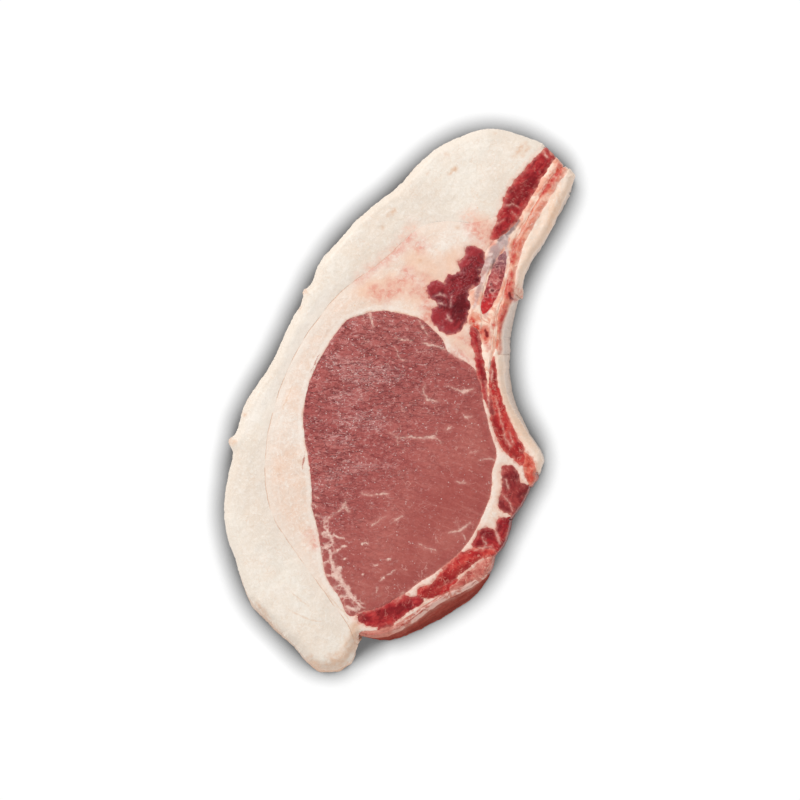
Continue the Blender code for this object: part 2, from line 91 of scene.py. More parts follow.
POCKET = 0.8               # half width of the widest channel from outside that is closed
FAT_RIM = 2.8              # rounding of the upper edge on fat
TAIL_RIM = 4.2             # and at the end of the tail
TAIL_UPRIGHT = 0.55        # how much steeper the wall stands there
LEAN_RIM = 1.0             # rounding of the upper edge on lean and bone
FOOT_RIM = 1.2             # rounding of the lower edge
RIM_TURNS = (72, 82, 90)   # degrees round the upper rim where the wall has a ring
FOOT_TURNS = (35, 65, 90)  # and round the lower rim
RIM_START = math.radians(60)   # how far round the rim the upper face reaches
FOOT_FADE = 6.0            # how quickly the wall's look gives way to the underside's
WALL_STEP = 1.1            # spacing of the rings on the side wall
RIM_FADE = 7.0             # how far in the wall's slant moves the upper face
LEAN_FADE = 16.0           # and the underside
FOOT_NEAR = 3.0            # how far in the underside follows the nearest edge alone
CRUMB = 60                 # fewest triangles in a body of its own
SHARP_ANGLE = math.radians(55)   # a bend above this keeps its edge

FATS = ("outer_fat", "inner_fat", "rib_side_fat", "corner_fat")
BONY = ("rib_bone", "rib_marrow")
NODES = sorted(frame["nodes"])
LEANS = tuple(name for name in NODES if name not in FATS + BONY + ("pink_strip",))
SMALL_LEANS = tuple(name for name in LEANS if name not in ("loin_eye", "side_muscle"))

# Broad waves of the upper face: height, length across, length along and phase.
FACE_WAVES = ((0.35, 148.0, 230.0, 0.7), (0.22, -97.0, 120.0, 2.1), (0.14, 55.0, -61.0, 4.0))
CROWN_REACH = 7.0
CROWNS = {"loin_eye": 0.7, "lobed_muscle": 0.6, "rib_strip_muscle": 0.5, "rib_bone": 0.3,
          "rib_marrow": -0.3, "outer_fat": 0.5, "inner_fat": 0.3}
LOW_CROWN = 0.3

# How ragged the tissues' outlines are: height and length of the waves.
RAGGED = {"loin_eye": ((0.4, 3.1), (0.3, 1.2), (0.18, 0.7)),
          "lobed_muscle": ((0.9, 2.6), (0.8, 1.2), (0.35, 0.65)),
          "rib_strip_muscle": ((0.9, 2.4), (0.5, 1.1), (0.25, 0.65)),
          "outer_fat": ((0.35, 6.0), (0.2, 1.6)), "inner_fat": ((0.25, 4.0),),
          "rib_side_fat": ((0.8, 3.4), (0.45, 1.3)), "side_muscle": ((0.5, 3.6), (0.35, 1.3))}
RAGGED_LEAN = ((0.8, 2.4), (0.6, 1.1), (0.35, 0.65))
RAGGED_HARD = ((0.35, 1.6), (0.2, 0.8))
RAGGED_OUTSIDE = ((0.35, 3.1), (0.3, 1.2), (0.16, 0.7))

# Where the outer edge is drawn in further: node, place from its middle, how far and radius.
TRIMS = (
    ("outer_fat", -24.6, -86.6, 1.1, 9.0), ("outer_fat", -15.2, -89.6, 0.5, 6.0),
    ("outer_fat", 8.9, 78.5, 0.6, 16.0), ("outer_fat", -27.6, 38.3, 0.6, 6.0),
    ("outer_fat", -36.7, -75.6, 0.6, 12.0), ("side_muscle", -4.0, -7.2, 1.8, 13.0),
    ("rib_side_fat", 8.5, 15.6, 0.7, 7.0), ("corner_fat", 0.1, -6.8, 0.6, 12.0),
)

# How far the small muscles press on the thin fat between them.
PRESSED = {"lower_strip_upper": 1.0, "lower_strip_outer": 0.9, "lower_strip_bulb": 0.9,
           "bottom_strip": 1.1, "lower_dark_muscle": 0.8, "chine_muscle": 0.6,
           "rib_edge_muscle": 0.35, "intercostal_muscle": 0.6, "corner_muscle": 0.8,
           "lobed_muscle": 0.2, "rib_strip_muscle": 0.2}


def middle(node):
    """Middle of a CAD node's box in plan, in millimetres."""
    low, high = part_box(node)
    return np.array([(low.x + high.x) / 2, (low.y + high.y) / 2]) / MM


def grain(points, size, seed=0.0):
    """Smooth random waves of about one size at each point, from -1 to 1."""
    flat = np.zeros((len(points), 3))
    flat[:, :points.shape[1]] = points / size
    flat += (seed * 17.3, seed * 5.9, seed * 3.1)
    return np.array([noise.noise(place) for place in flat.tolist()])


def rough(points, size, octaves=3, seed=0.0):
    """Random waves of one size with smaller ones on them."""
    total = sum(0.5 ** level * grain(points, size * 0.5 ** level, seed + level)
                for level in range(octaves))
    return total / sum(0.5 ** level for level in range(octaves))


def ease(value, low, high):
    """0 below low, 1 above high, with a smooth rise between."""
    share = np.clip((value - low) / (high - low), 0, 1)
    return share * share * (3 - 2 * share)


def search_tree(places):
    """A tree that finds the places in plan nearest to a point."""
    tree = kdtree.KDTree(len(places))
    for index, (x, y) in enumerate(places.tolist()):
        tree.insert((x, y, 0), index)
    tree.balance()
    return tree


# ---- Distance from marks ----

def placed(node, strokes):
    """Strokes moved from a piece's own middle into the row frame."""
    shift = middle(node)
    return [np.array([(x + shift[0], y + shift[1], *rest) for x, y, *rest in stroke])
            for stroke in strokes]


def gap_to(points, strokes, reach=4.0):
    """Distance in millimetres from each point to the nearest of some tapering strokes.

    A stroke is a line of (x, y, half width). The distance is negative inside it.
    """
    gap = np.full(len(points), FAR)
    for stroke in strokes:
        line = stroke if len(stroke) > 1 else np.concatenate([stroke, stroke + (0.01, 0, 0)])
        wide = line[:, 2].max() + reach
        near = np.flatnonzero(((points > line[:, :2].min(0) - wide)
                               & (points < line[:, :2].max(0) + wide)).all(1))
        for start, end in zip(line[:-1], line[1:]):
            run = end[:2] - start[:2]
            share = np.clip((points[near] - start[:2]) @ run / max(run @ run, 1e-9), 0, 1)
            from_line = np.linalg.norm(points[near] - start[:2] - share[:, None] * run, axis=1)
            width = start[2] + share * (end[2] - start[2])
            gap[near] = np.minimum(gap[near], from_line - width)
    return gap


def gap_to_marks(points, marks):
    """Distance from each point to the nearest of the marks of several pieces."""
    return np.minimum.reduce([gap_to(points, placed(node, strokes)) for node, strokes in marks])


# Small bumps on the side wall: node, place from its middle, height, how far out and radius.
BUMPS = (
    ("outer_fat", -51.0, -12.9, 15.0, 1.5, 1.2), ("outer_fat", -28.0, 38.0, 16.0, 1.1, 1.6),
    ("outer_fat", -30.4, 32.3, 15.0, 0.9, 1.2), ("outer_fat", 48.6, 86.6, 19.0, 0.6, 0.9),
    ("pink_strip", -5.6, -10.6, 18.5, 1.6, 1.5), ("pink_strip", -5.2, -13.0, 18.0, 2.6, 1.5),
    ("pink_strip", -5.2, -15.4, 17.5, 1.4, 1.1), ("rib_side_fat", 1.0, -4.6, 14.0, 1.0, 1.6),
    ("rib_side_fat", -6.0, -13.6, 16.0, 0.9, 1.0), ("side_muscle", 13.0, -4.6, 2.5, 1.2, 1.1),
    ("side_muscle", 15.6, -2.6, 2.0, 0.9, 0.9),
)


# ---- Outlines from the CAD nodes ----

def welded(node):
    """A CAD node's points in millimetres with doubles merged, and its triangles."""
    mesh = frame["nodes"][node].data
    mesh.calc_loop_triangles()
    places = np.array([vert.co for vert in mesh.vertices]) / MM
    triangles = np.array([tri.vertices for tri in mesh.loop_triangles])
    keys, index = np.unique(np.round(places, 3), axis=0, return_inverse=True)
    return keys, index.ravel()[triangles]


def section(node, level):
    """The closed outlines where a level plane cuts a CAD node."""
    places, triangles = welded(node)
    links = {}
    points = {}
    for tri in triangles.tolist():
        ends = []
        for first, second in ((0, 1), (1, 2), (2, 0)):
            a, b = sorted((tri[first], tri[second]))
            rise_a, rise_b = places[a][2] - level, places[b][2] - level
            if rise_a * rise_b < 0:
                share = rise_a / (rise_a - rise_b)
                points[a, b] = (places[a] + (places[b] - places[a]) * share)[:2]
                ends.append((a, b))
        if len(ends) == 2:
            links.setdefault(ends[0], []).append(ends[1])
            links.setdefault(ends[1], []).append(ends[0])
    outlines = []
    unseen = dict.fromkeys(links)
    while unseen:
        key = next(iter(unseen))
        outline = []
        while key is not None:
            del unseen[key]
            outline.append(points[key])
            key = next((other for other in links[key] if other in unseen), None)
        outlines.append(np.array(outline))
    return outlines


def thinned(outline, closest=0.5, straight=0.004):
    """An outline without crowded points and without points on straight runs."""
    kept = [outline[0]]
    for point in outline[1:]:
        if math.dist(point, kept[-1]) > closest:
            kept.append(point)
    if math.dist(kept[0], kept[-1]) < closest:
        kept.pop()
    count = len(kept)
    corners = []
    for index, point in enumerate(kept):
        before = point - kept[index - 1]
        after = kept[(index + 1) % count] - point
        turn = abs(before[0] * after[1] - before[1] * after[0])
        if turn > straight * np.linalg.norm(before) * np.linalg.norm(after):
            corners.append(point)
    return np.array(corners)


def rounded(outline, parts=5, sharp=0.55):
    """A smooth curve through an outline's points, keeping its sharp corners."""
    before = outline - np.roll(outline, 1, 0)
    after = np.roll(outline, -1, 0) - outline
    cosine = (before * after).sum(1) / (np.linalg.norm(before, axis=1)
                                        * np.linalg.norm(after, axis=1))
    tangent = (before + after) / 2
    tangent[cosine < sharp] = 0
    step = np.linalg.norm(after, axis=1)[:, None]
    spread = np.linalg.norm(before + after, axis=1)[:, None] / 2
    leave = tangent / np.maximum(spread, 1e-6) * step
    arrive = np.roll(tangent, -1, 0) / np.maximum(np.roll(spread, -1, 0), 1e-6) * step
    points = []
    for part in range(parts):
        t = part / parts
        points.append(outline * (2 * t ** 3 - 3 * t ** 2 + 1) + leave * (t ** 3 - 2 * t ** 2 + t)
                      + np.roll(outline, -1, 0) * (3 * t ** 2 - 2 * t ** 3)
                      + arrive * (t ** 3 - t ** 2))
    return np.stack(points, 1).reshape(-1, 2)


def signed_distance(points, outlines):
    """Distance from each point to the outlines, negative inside them."""
    starts = np.concatenate(outlines)
    ends = np.concatenate([np.roll(outline, -1, 0) for outline in outlines])
    order = np.argsort(points[:, 1], kind="stable")
    heights = points[order, 1]
    inside = np.zeros(len(points), bool)
    for (x0, y0), (x1, y1) in zip(starts.tolist(), ends.tolist()):
        first, last = np.searchsorted(heights, sorted((y0, y1)))
        rows = order[first:last]
        if len(rows):
            inside[rows] ^= points[rows, 0] < x0 + (points[rows, 1] - y0) * (x1 - x0) / (y1 - y0)
    corners = [(x, y, z) for x, y in np.concatenate([starts, ends]).tolist() for z in (-1, 1)]
    count = len(starts)
    walls = [(2 * n, 2 * n + 1, 2 * (count + n) + 1, 2 * (count + n)) for n in range(count)]
    tree = BVHTree.FromPolygons(corners, walls)
    gap = np.array([tree.find_nearest((x, y, 0))[3] for x, y in points.tolist()])
    return np.where(inside, -gap, gap)


# ---- The shared mesh in plan ----

def plan_grid():
    """Points of a square grid over the slice, and its triangles."""
    low, high = CAD_BOX
    across = np.arange(low.x / MM - MARGIN, high.x / MM + MARGIN, GRID)
    along = np.arange(low.y / MM - MARGIN, high.y / MM + MARGIN, GRID)
    x, y = np.meshgrid(across, along)
    wobble = GRID * 0.22
    points = np.stack([x.ravel(), y.ravel()], 1)
    points[:, 0] += wobble * grain(points, GRID * 1.7, 3)
    points[:, 1] += wobble * grain(points, GRID * 1.7, 8)
    columns = len(across)
    cell = (np.arange(len(along) - 1)[:, None] * columns + np.arange(columns - 1)).ravel()
    odd = (cell // columns + cell % columns) % 2 == 1
    a, b, c, d = cell, cell + 1, cell + columns + 1, cell + columns
    first = np.where(odd[:, None], np.stack([a, b, c], 1), np.stack([a, b, d], 1))
    second = np.where(odd[:, None], np.stack([a, c, d], 1), np.stack([b, c, d], 1))
    return points, np.concatenate([first, second]), (len(along), columns)


def grown(marked):
    """A grid of marks with each mark's four neighbours marked too."""
    wider = marked.copy()
    wider[1:] |= marked[:-1]
    wider[:-1] |= marked[1:]
    wider[:, 1:] |= marked[:, :-1]
    wider[:, :-1] |= marked[:, 1:]
    return wider


def near_open_air(beyond, shape):
    """Which grid points are outside the slice and can be reached from the grid's corner."""
    beyond = beyond.reshape(shape)
    reached = np.zeros(shape, bool)
    reached[0] = True
    while True:
        wider = grown(reached) & beyond
        if (wider == reached).all():
            return reached.ravel()
        reached = wider


def grown_back(marked, shape):
    """Marked grid points that aren't beside an unmarked one."""
    return ~grown(~marked.reshape(shape)).ravel()


def tissue_distances(points, shape):
    """Distance from every grid point to every tissue, one column each, then one for outside."""
    columns = []
    for node in NODES:
        outlines = [rounded(thinned(outline)) for outline in section(node, HIGH_LEVEL)
                    if len(outline) > 8]
        every = np.concatenate(outlines)
        near = ((points > every.min(0) - REACH) & (points < every.max(0) + REACH)).all(1)
        column = np.full(len(points), FAR)
        column[near] = signed_distance(points[near], outlines)
        columns.append(column)
    table = np.stack(columns, 1)
    outside = TISSUE_GAP - table.min(1)
    open_air = near_open_air(outside < -POCKET, shape)
    tree = search_tree(points[open_air & ~grown_back(open_air, shape)])
    outside[open_air] = np.minimum(outside[open_air], -POCKET)
    for index in np.flatnonzero(~open_air & (outside < EDGE_BAND)):
        gap = tree.find((*points[index], 0))[2]
        outside[index] = max(outside[index], gap - TISSUE_GAP - POCKET - GRID * 0.7)
    nearest = table.min(1)
    for index, node in enumerate(NODES):
        close = np.abs(table[:, index]) < 2.0
        waves = RAGGED.get(node, RAGGED_LEAN if node in LEANS else RAGGED_HARD)
        for step, (height, size) in enumerate(waves):
            table[close, index] += height * grain(points[close], size, index + 20 * step)
        table[:, index] -= PRESSED.get(node, 0)
    close = np.abs(outside) < 2.0
    for step, (height, size) in enumerate(RAGGED_OUTSIDE):
        outside[close] += height * grain(points[close], size, 70 + step)
    outside += table.min(1) - nearest
    beyond = outside < table.min(1)
    outside[beyond & ~near_open_air(beyond, shape)] = FAR
    return np.concatenate([table, outside[:, None]], 1)


def divide(points, triangles, table):
    """Split the mesh along the lines where one tissue meets the next."""
    label = table.argmin(1)
    corner_labels = label[triangles]
    outside = table.shape[1] - 1
    same = (corner_labels == corner_labels[:, :1]).all(1)
    parts = {index: [triangles[same & (corner_labels[:, 0] == index)]]
             for index in range(outside)}
    new_points = []
    new_rows = []
    made = {}

    def crossing(i, j):
        key = (min(i, j), max(i, j))
        if key not in made:
            a, b = label[i], label[j]
            here, there = table[i, a] - table[i, b], table[j, a] - table[j, b]
            share = min(max(here / (here - there), 0.12), 0.88)
            made[key] = len(points) + len(new_points)
            new_points.append(points[i] * (1 - share) + points[j] * share)
            new_rows.append(table[i] * (1 - share) + table[j] * share)
        return made[key]

    mixed = {index: [] for index in range(outside + 1)}
    for tri in triangles[~same].tolist():
        kinds = [label[corner] for corner in tri]
        if len(set(kinds)) == 3:
            marks = [crossing(tri[n], tri[(n + 1) % 3]) for n in range(3)]
            centre = len(points) + len(new_points)
            trio = [mark - len(points) for mark in marks]
            new_points.append(sum(new_points[n] for n in trio) / 3)
            new_rows.append(sum(new_rows[n] for n in trio) / 3)
            for n in range(3):
                mixed[kinds[n]] += [(tri[n], marks[n], centre), (tri[n], centre, marks[n - 1])]
            continue
        lone = next(n for n in range(3) if kinds.count(kinds[n]) == 1)
        i, j, k = tri[lone], tri[(lone + 1) % 3], tri[(lone + 2) % 3]
        left, right = crossing(i, j), crossing(i, k)
        mixed[label[i]].append((i, left, right))
        mixed[label[j]] += [(left, j, k), (left, k, right)]
    for index in parts:
        if mixed[index]:
            parts[index].append(np.array(mixed[index]))
    whole = {NODES[index]: np.concatenate(parts[index]) for index in parts}
    return np.concatenate([points, new_points]), np.concatenate([table, new_rows]), whole


def border_edges(triangles):
    """Directed edges that only one triangle of a set uses."""
    edges = np.concatenate([triangles[:, [0, 1]], triangles[:, [1, 2]], triangles[:, [2, 0]]])
    known = set(map(tuple, edges.tolist()))
    return [edge for edge in map(tuple, edges.tolist()) if edge[::-1] not in known]


def drop_crumbs(parts):
    """Give a tissue's stray crumbs of mesh to the neighbour that holds most of their border."""
    owner = {}
    for name, triangles in parts.items():
        for edge in border_edges(triangles):
            owner[edge] = name
    kept = {name: [] for name in parts}
    for name, triangles in parts.items():
        group = np.arange(triangles.max() + 1)
        while True:
            lowest = group[triangles].min(1)
            fresh = group.copy()
            for corner in range(3):
                np.minimum.at(fresh, triangles[:, corner], lowest)
            fresh = fresh[fresh]
            if (fresh == group).all():
                break
            group = fresh
        marks, sizes = np.unique(group[triangles[:, 0]], return_counts=True)
        for mark, size in zip(marks, sizes):
            crumb = triangles[group[triangles[:, 0]] == mark]
            heir = name
            if size < CRUMB:
                votes = [owner.get(edge[::-1]) for edge in border_edges(crumb)]
                votes = [vote for vote in votes if vote]
                heir = max(sorted(set(votes)), key=votes.count) if votes else None
            if heir:
                kept[heir].append(crumb)
    return {name: np.concatenate(pieces) for name, pieces in kept.items()}


# ---- Marks placed one by one, in millimetres from the middle of a piece ----

EYE_VEINS = (
    ((-0.5, 8.5, 0.25), (3.2, 8.9, 0.3), (7.3, 8.5, 0.35), (11.6, 8.9, 0.55)),
    ((11.6, 8.9, 0.3), (12.6, 11.2, 0.12)),
    ((11.6, 8.9, 0.3), (14.0, 6.8, 0.12)),
    ((-0.5, 8.9, 0.3), (-0.8, 6.2, 0.12)),
    ((-0.5, 8.9, 0.2), (-3.5, 10.2, 0.1)),
    ((15.3, 26.3, 0.1), (19.3, 24.6, 0.3), (21.3, 23.9, 0.6), (23.3, 24.6, 0.4), (24.7, 24.9, 0.15)),
    ((8.3, 26.6, 0.12), (7.9, 23.9, 0.35), (8.9, 21.6, 0.4), (11.3, 20.9, 0.3), (13.3, 20.9, 0.2)),
    ((-1.5, 42.0, 0.15), (1.2, 41.4, 0.3), (3.9, 41.0, 0.2)),
    ((-1.1, 38.3, 0.12), (-0.8, 36.7, 0.15), (0.2, 35.0, 0.3), (1.6, 34.3, 0.2)),
    ((6.2, 48.0, 0.2), (7.6, 45.7, 0.3), (9.6, 42.4, 0.15)),
    ((7.3, 40.7, 0.15), (9.9, 39.7, 0.5), (13.3, 39.0, 0.3), (16.0, 38.0, 0.4), (21.0, 34.7, 0.5)),
    ((-10.2, 50.4, 0.6), (-9.5, 48.0, 0.35), (-8.8, 45.4, 0.12)),
    ((-12.8, -10.2, 0.3), (-9.5, -10.6, 0.25), (-5.5, -10.2, 0.45), (-3.8, -9.9, 0.15)),
    ((-18.2, -12.2, 0.15), (-18.5, -14.6, 0.9), (-17.2, -15.9, 0.5)),
    ((-18.5, -14.6, 0.4), (-21.6, -16.6, 0.25), (-24.2, -18.6, 0.3), (-25.6, -20.6, 0.35),
     (-24.9, -22.3, 0.3)),
    ((0.9, -17.6, 0.45), (-1.1, -18.6, 0.3), (-3.1, -20.0, 0.12)),
    ((-9.2, -20.6, 0.3), (-6.8, -19.0, 0.2), (-4.5, -17.6, 0.1)),
    ((19.0, -5.9, 0.15), (20.7, -6.2, 0.4), (22.3, -6.6, 0.15)),
    ((15.3, 11.2, 0.1), (16.3, 11.9, 0.55), (17.3, 12.5, 0.1)),
    ((21.0, 16.6, 0.12), (22.3, 15.6, 0.35), (24.0, 15.6, 0.15)),
    ((23.3, 3.5, 0.12), (25.0, 3.8, 0.3), (26.3, 4.2, 0.12)),
    ((26.7, 1.1, 0.12), (29.7, 1.8, 0.2), (32.4, 1.1, 0.35)),
    ((23.7, -20.0, 0.3), (20.3, -22.3, 0.45), (16.3, -23.3, 0.12)),
    ((20.3, -22.3, 0.25), (19.3, -19.6, 0.1)),
    ((20.7, -23.0, 0.15), (22.0, -25.7, 0.1)),
    ((1.2, -43.1, 0.4), (-0.8, -46.1, 0.2)),
    ((6.6, -27.0, 0.1), (9.3, -28.3, 0.2), (11.9, -29.0, 0.25)),
    ((-28.9, -10.6, 0.3), (-27.3, -11.6, 0.15)),
    ((-29.3, -13.6, 0.3), (-26.9, -14.3, 0.15)),
    ((-28.3, -17.6, 0.3), (-26.2, -17.6, 0.15)),
)
EYE_WEB = (
    ((-25.4, -19.5, 0.25), (-24.8, -21.6, 0.3), (-24.2, -23.2, 0.5), (-23.1, -24.5, 0.3),
     (-22.7, -26.6, 0.2)),
    ((-27.2, -23.2, 0.3), (-25.2, -23.2, 0.55), (-23.6, -23.3, 0.5)),
    ((-26.0, -28.3, 0.5), (-24.6, -28.2, 0.6), (-23.5, -27.2, 0.3)),
    ((-24.6, -28.2, 0.3), (-23.4, -29.1, 0.4), (-22.9, -33.6, 0.4), (-21.3, -36.4, 0.9),
     (-20.3, -35.2, 0.8)),
    ((-26.0, -33.3, 0.3), (-24.3, -32.9, 0.3), (-22.9, -32.4, 0.3)),
    ((-24.9, -37.4, 0.35), (-23.0, -37.6, 0.45), (-21.3, -37.0, 1.3), (-20.2, -38.4, 0.9)),
    ((-20.6, -37.6, 0.9), (-19.2, -39.9, 0.5), (-17.3, -42.1, 0.9), (-16.6, -44.6, 0.6),
     (-14.9, -45.0, 0.5)),
    ((-22.3, -41.6, 0.3), (-20.4, -41.0, 0.4), (-19.0, -40.0, 0.5)),
    ((-19.9, -44.6, 0.4), (-18.4, -44.0, 0.5), (-16.6, -44.4, 0.6)),
    ((-16.6, -44.6, 0.5), (-14.3, -46.6, 0.4), (-13.2, -48.0, 0.5)),
    ((-18.0, -48.2, 0.5), (-15.8, -48.6, 0.6), (-13.6, -48.8, 0.4)),
    ((-22.2, -23.6, 0.2), (-20.2, -25.0, 0.35), (-18.8, -25.0, 0.3)),
    ((-21.0, -29.2, 0.3), (-19.2, -27.9, 0.4), (-18.0, -27.6, 0.2)),
    ((-18.7, -32.2, 0.35), (-18.0, -31.8, 0.2)), ((-22.2, -32.8, 0.25), (-21.2, -31.4, 0.15)),
    ((-12.5, -26.8, 0.25), (-10.6, -26.9, 0.3)), ((-12.4, -37.0, 0.3),),
    ((-8.9, -33.9, 0.2), (-7.3, -34.1, 0.25)), ((-4.4, -32.0, 0.2), (-3.2, -31.8, 0.2)),
    ((-1.4, -35.5, 0.1), (-2.9, -36.7, 0.15), (-4.2, -37.2, 0.2)),
    ((-5.4, -38.0, 0.2), (-6.6, -39.5, 0.1)), ((-7.6, -41.4, 0.1), (-7.9, -43.2, 0.15)),
)
EYE_ISLANDS = (
    ((-27.1, -24.9, 0.6), (-26.4, -21.2, 0.7)), ((-24.4, -25.8, 0.7),),
    ((-24.7, -29.8, 0.8), (-24.9, -31.6, 0.7)), ((-24.3, -34.2, 0.8), (-24.1, -36.0, 0.9)),
    ((-23.2, -39.1, 0.8), (-21.4, -40.2, 0.8)), ((-19.2, -43.2, 1.0),),
    ((-17.3, -46.5, 0.9), (-16.0, -47.3, 0.7)), ((-15.9, -43.0, 0.7),), ((-15.7, -50.9, 0.9),),
    ((-21.5, -31.0, 1.1), (-20.6, -33.4, 0.9)), ((-14.0, -44.5, 0.5),),
)
# Bands of painted sheen on the eye: pale colour where its surface catches the light.
EYE_SHEEN = (
    ((-29.3, -7.9, 0.6), (-23.2, -4.2, 0.9), (-17.2, -1.9, 1.1), (-11.5, -0.5, 0.9),
     (-1.1, -0.5, 0.4)),
    ((-23.6, 9.0, 1.5), (-18.0, 8.0, 1.5)), ((-21.0, 21.6, 2.0), (-14.0, 22.5, 1.5)),
    ((-21.6, 34.0, 3.0), (-11.0, 29.0, 4.0), (-1.0, 30.0, 2.0)),
    ((-20.0, 15.0, 2.0), (-8.0, 14.0, 3.0)),
)

LEAN_STRANDS = (
    ("lobed_muscle", (
        ((-7.8, -2.3, 0.15), (-5.5, -1.3, 0.35), (-3.1, -2.0, 0.15)),
        ((-7.5, -5.3, 0.15), (-5.5, -4.3, 0.3), (-3.5, -5.0, 0.15)),
        ((-2.8, -8.0, 0.25), (-1.8, -10.3, 0.3)),
        ((-3.5, -9.7, 0.1), (-2.1, -9.0, 0.25)),
        ((-4.5, -12.3, 0.2),),
        ((-1.4, -2.3, 0.2), (-1.8, -5.6, 0.2)),
    )),
    ("rib_strip_muscle", (
        ((6.7, 14.1, 0.3), (8.0, 12.0, 0.35)),
        ((-6.4, -4.7, 0.15), (-3.7, -4.0, 0.25), (-1.7, -5.4, 0.1)),
        ((-9.0, -10.4, 0.2), (-6.7, -9.1, 0.1)),
        ((-4.3, -6.7, 0.15), (-2.3, -8.4, 0.15)),
    )),
    ("intercostal_muscle", (
        ((-7.0, 9.3, 0.3), (-6.7, 5.6, 0.25), (-6.0, 1.6, 0.2)),
        ((-3.7, 5.0, 0.15), (-2.7, 0.3, 0.25), (-2.0, -4.1, 0.2)),
        ((-1.7, -4.1, 0.15), (-0.7, -9.1, 0.25), (1.0, -11.5, 0.3)),
        ((0.7, -6.4, 0.1), (1.7, -10.1, 0.35)),
        ((-4.7, 13.7, 0.5), (-5.3, 10.3, 0.3)),
    )),
    ("chine_muscle", (
        ((-4.9, -0.7, 0.2), (-2.9, -3.1, 0.25), (-1.2, -6.4, 0.2)),
        ((-3.9, 4.3, 0.3), (-2.9, 0.9, 0.3)),
    )),
    ("lower_dark_muscle", (
        ((0.4, 2.9, 0.3), (1.7, 0.2, 0.5), (2.7, -2.5, 0.3)),
        ((-3.7, -0.1, 0.15), (-2.3, -2.5, 0.3), (-3.3, -4.5, 0.2)),
        ((-6.3, -4.5, 0.15), (-3.3, -3.8, 0.3), (-0.3, -3.5, 0.2)),
    )),
)
STAINS = (
    ("inner_fat", (
        ((4.2, 68.3, 0.8), (2.2, 64.3, 1.2), (-0.8, 60.9, 1.0), (-4.2, 57.9, 0.6),
         (-9.2, 54.6, 0.4), (-13.9, 50.5, 0.2)),
        ((-8.5, 46.5, 1.0), (-4.5, 45.9, 1.6), (-0.8, 48.2, 1.8), (1.9, 50.2, 1.0)),
        ((5.5, 47.5, 1.3),),
        ((2.9, 52.9, 0.8), (4.2, 50.5, 0.6)),
        ((24.3, 71.0, 2.2), (27.0, 67.6, 2.6), (30.0, 64.6, 2.0)),
        ((7.9, 50.5, 0.8), (9.2, 44.2, 1.0), (9.9, 38.2, 1.6), (7.2, 34.1, 0.9)),
        ((17.6, 27.1, 0.6), (23.0, 24.4, 0.6)),
        ((-29.3, -34.5, 0.4), (-28.0, -37.2, 0.5)),
        ((7.2, 61.9, 0.8),),
        ((21.0, 31.5, 0.5), (24.3, 29.1, 0.4)),
    )),
    ("rib_side_fat", (((-9.8, -18.6, 0.8), (-9.4, -21.5, 1.2)),)),
    ("rib_bone", (
        ((15.0, 37.9, 0.6), (13.0, 34.2, 0.7), (10.0, 30.5, 0.7), (8.0, 27.5, 0.3)),
        ((-15.1, -14.4, 0.7), (-13.8, -16.7, 1.1), (-12.1, -18.1, 0.6)),
        ((-7.4, -16.1, 0.8),),
        ((-10.5, -20.4, 0.6), (-9.5, -24.1, 0.4)),
    )),
    ("pink_strip", (
        ((-9.0, -12.8, 0.7), (-8.4, -8.8, 1.1), (-7.7, -5.8, 0.6)),
        ((-10.4, -23.5, 0.6), (-9.4, -17.5, 0.8)),
        ((-6.7, 5.0, 0.5), (-7.7, -0.7, 0.5)),
    )),
)
TAN_MARKS = (
    ("outer_fat", (
        ((23.6, 78.5, 0.5),), ((21.6, 76.9, 0.3),), ((20.6, 83.6, 0.3),), ((14.3, 77.2, 0.3),),
        ((37.0, 91.3, 0.25),), ((-47.7, -3.5, 0.3),), ((-27.6, 38.0, 0.5),),
        ((-29.6, 32.3, 0.4),), ((-51.4, -12.9, 0.8),), ((-0.8, 59.1, 0.25),),
        ((43.1, 82.6, 0.2), (45.1, 85.2, 0.45), (47.1, 87.6, 0.2)),
        ((46.1, 82.9, 0.2), (48.1, 85.9, 0.35)),
        ((0.9, 62.8, 0.05), (3.2, 64.8, 0.2)),
        ((-43.7, -67.5, 0.2), (-38.7, -73.9, 0.45), (-30.3, -81.6, 0.5)),
        ((-24.6, -84.6, 0.3),),
        ((-27.0, -86.0, 1.4), (-20.6, -89.5, 2.8), (-14.5, -88.0, 2.4)),
        ((-16.6, -85.3, 1.6), (-13.5, -83.4, 1.8), (-10.0, -80.0, 2.2), (-10.0, -74.9, 1.2)),
        ((-18.6, -84.4, 0.8),),
    )),
    ("inner_fat", (
        ((19.6, 68.3, 0.3),), ((-40.7, -13.1, 0.3),), ((-32.3, 12.4, 0.25),), ((6.9, 56.9, 0.25),),
    )),
)
FAT_CREASES = (
    ("outer_fat", (
        ((-31.3, -63.2, 0.02), (-28.3, -65.8, 0.08), (-25.3, -67.9, 0.02)),
        ((-30.3, -70.2, 0.02), (-25.6, -72.2, 0.08), (-20.9, -73.2, 0.02)),
        ((23.2, 78.8, 0.5), (22.0, 77.3, 0.3)),
    )),
    ("inner_fat", (
        ((-35.7, 15.0, 0.02), (-37.7, 10.7, 0.1), (-39.0, 7.0, 0.02)),
        ((-23.6, -55.3, 0.02), (-19.9, -59.3, 0.1), (-16.6, -63.3, 0.02)),
    )),
)
# Red slits, holes and pores; the pink strip's stroke is a tear darkened with a painted shadow beside
# the flap.
GASHES_AND_FLAP_SHADOW = (
    ("inner_fat", (
        ((-26.5, 25.6, 0.02), (-27.6, 23.9, 0.16), (-29.6, 19.6, 0.03)),
        ((-31.6, -6.9, 0.02), (-32.1, -9.8, 0.16), (-32.4, -13.1, 0.02)),
    )),
    ("rib_bone", (((-10.5, -17.8, 0.5), (-9.8, -19.4, 0.8)),)),
    # A tear darkened with a painted shadow beside the flap.
    ("pink_strip", (((-8.0, -12.1, 0.4), (-7.0, -13.5, 0.6)),)),
    ("rib_marrow", (
        ((-0.4, -2.5, 0.5),), ((1.3, 5.2, 0.4),), ((-1.0, -0.4, 0.3),), ((-2.4, -4.5, 0.3),),
    )),
)
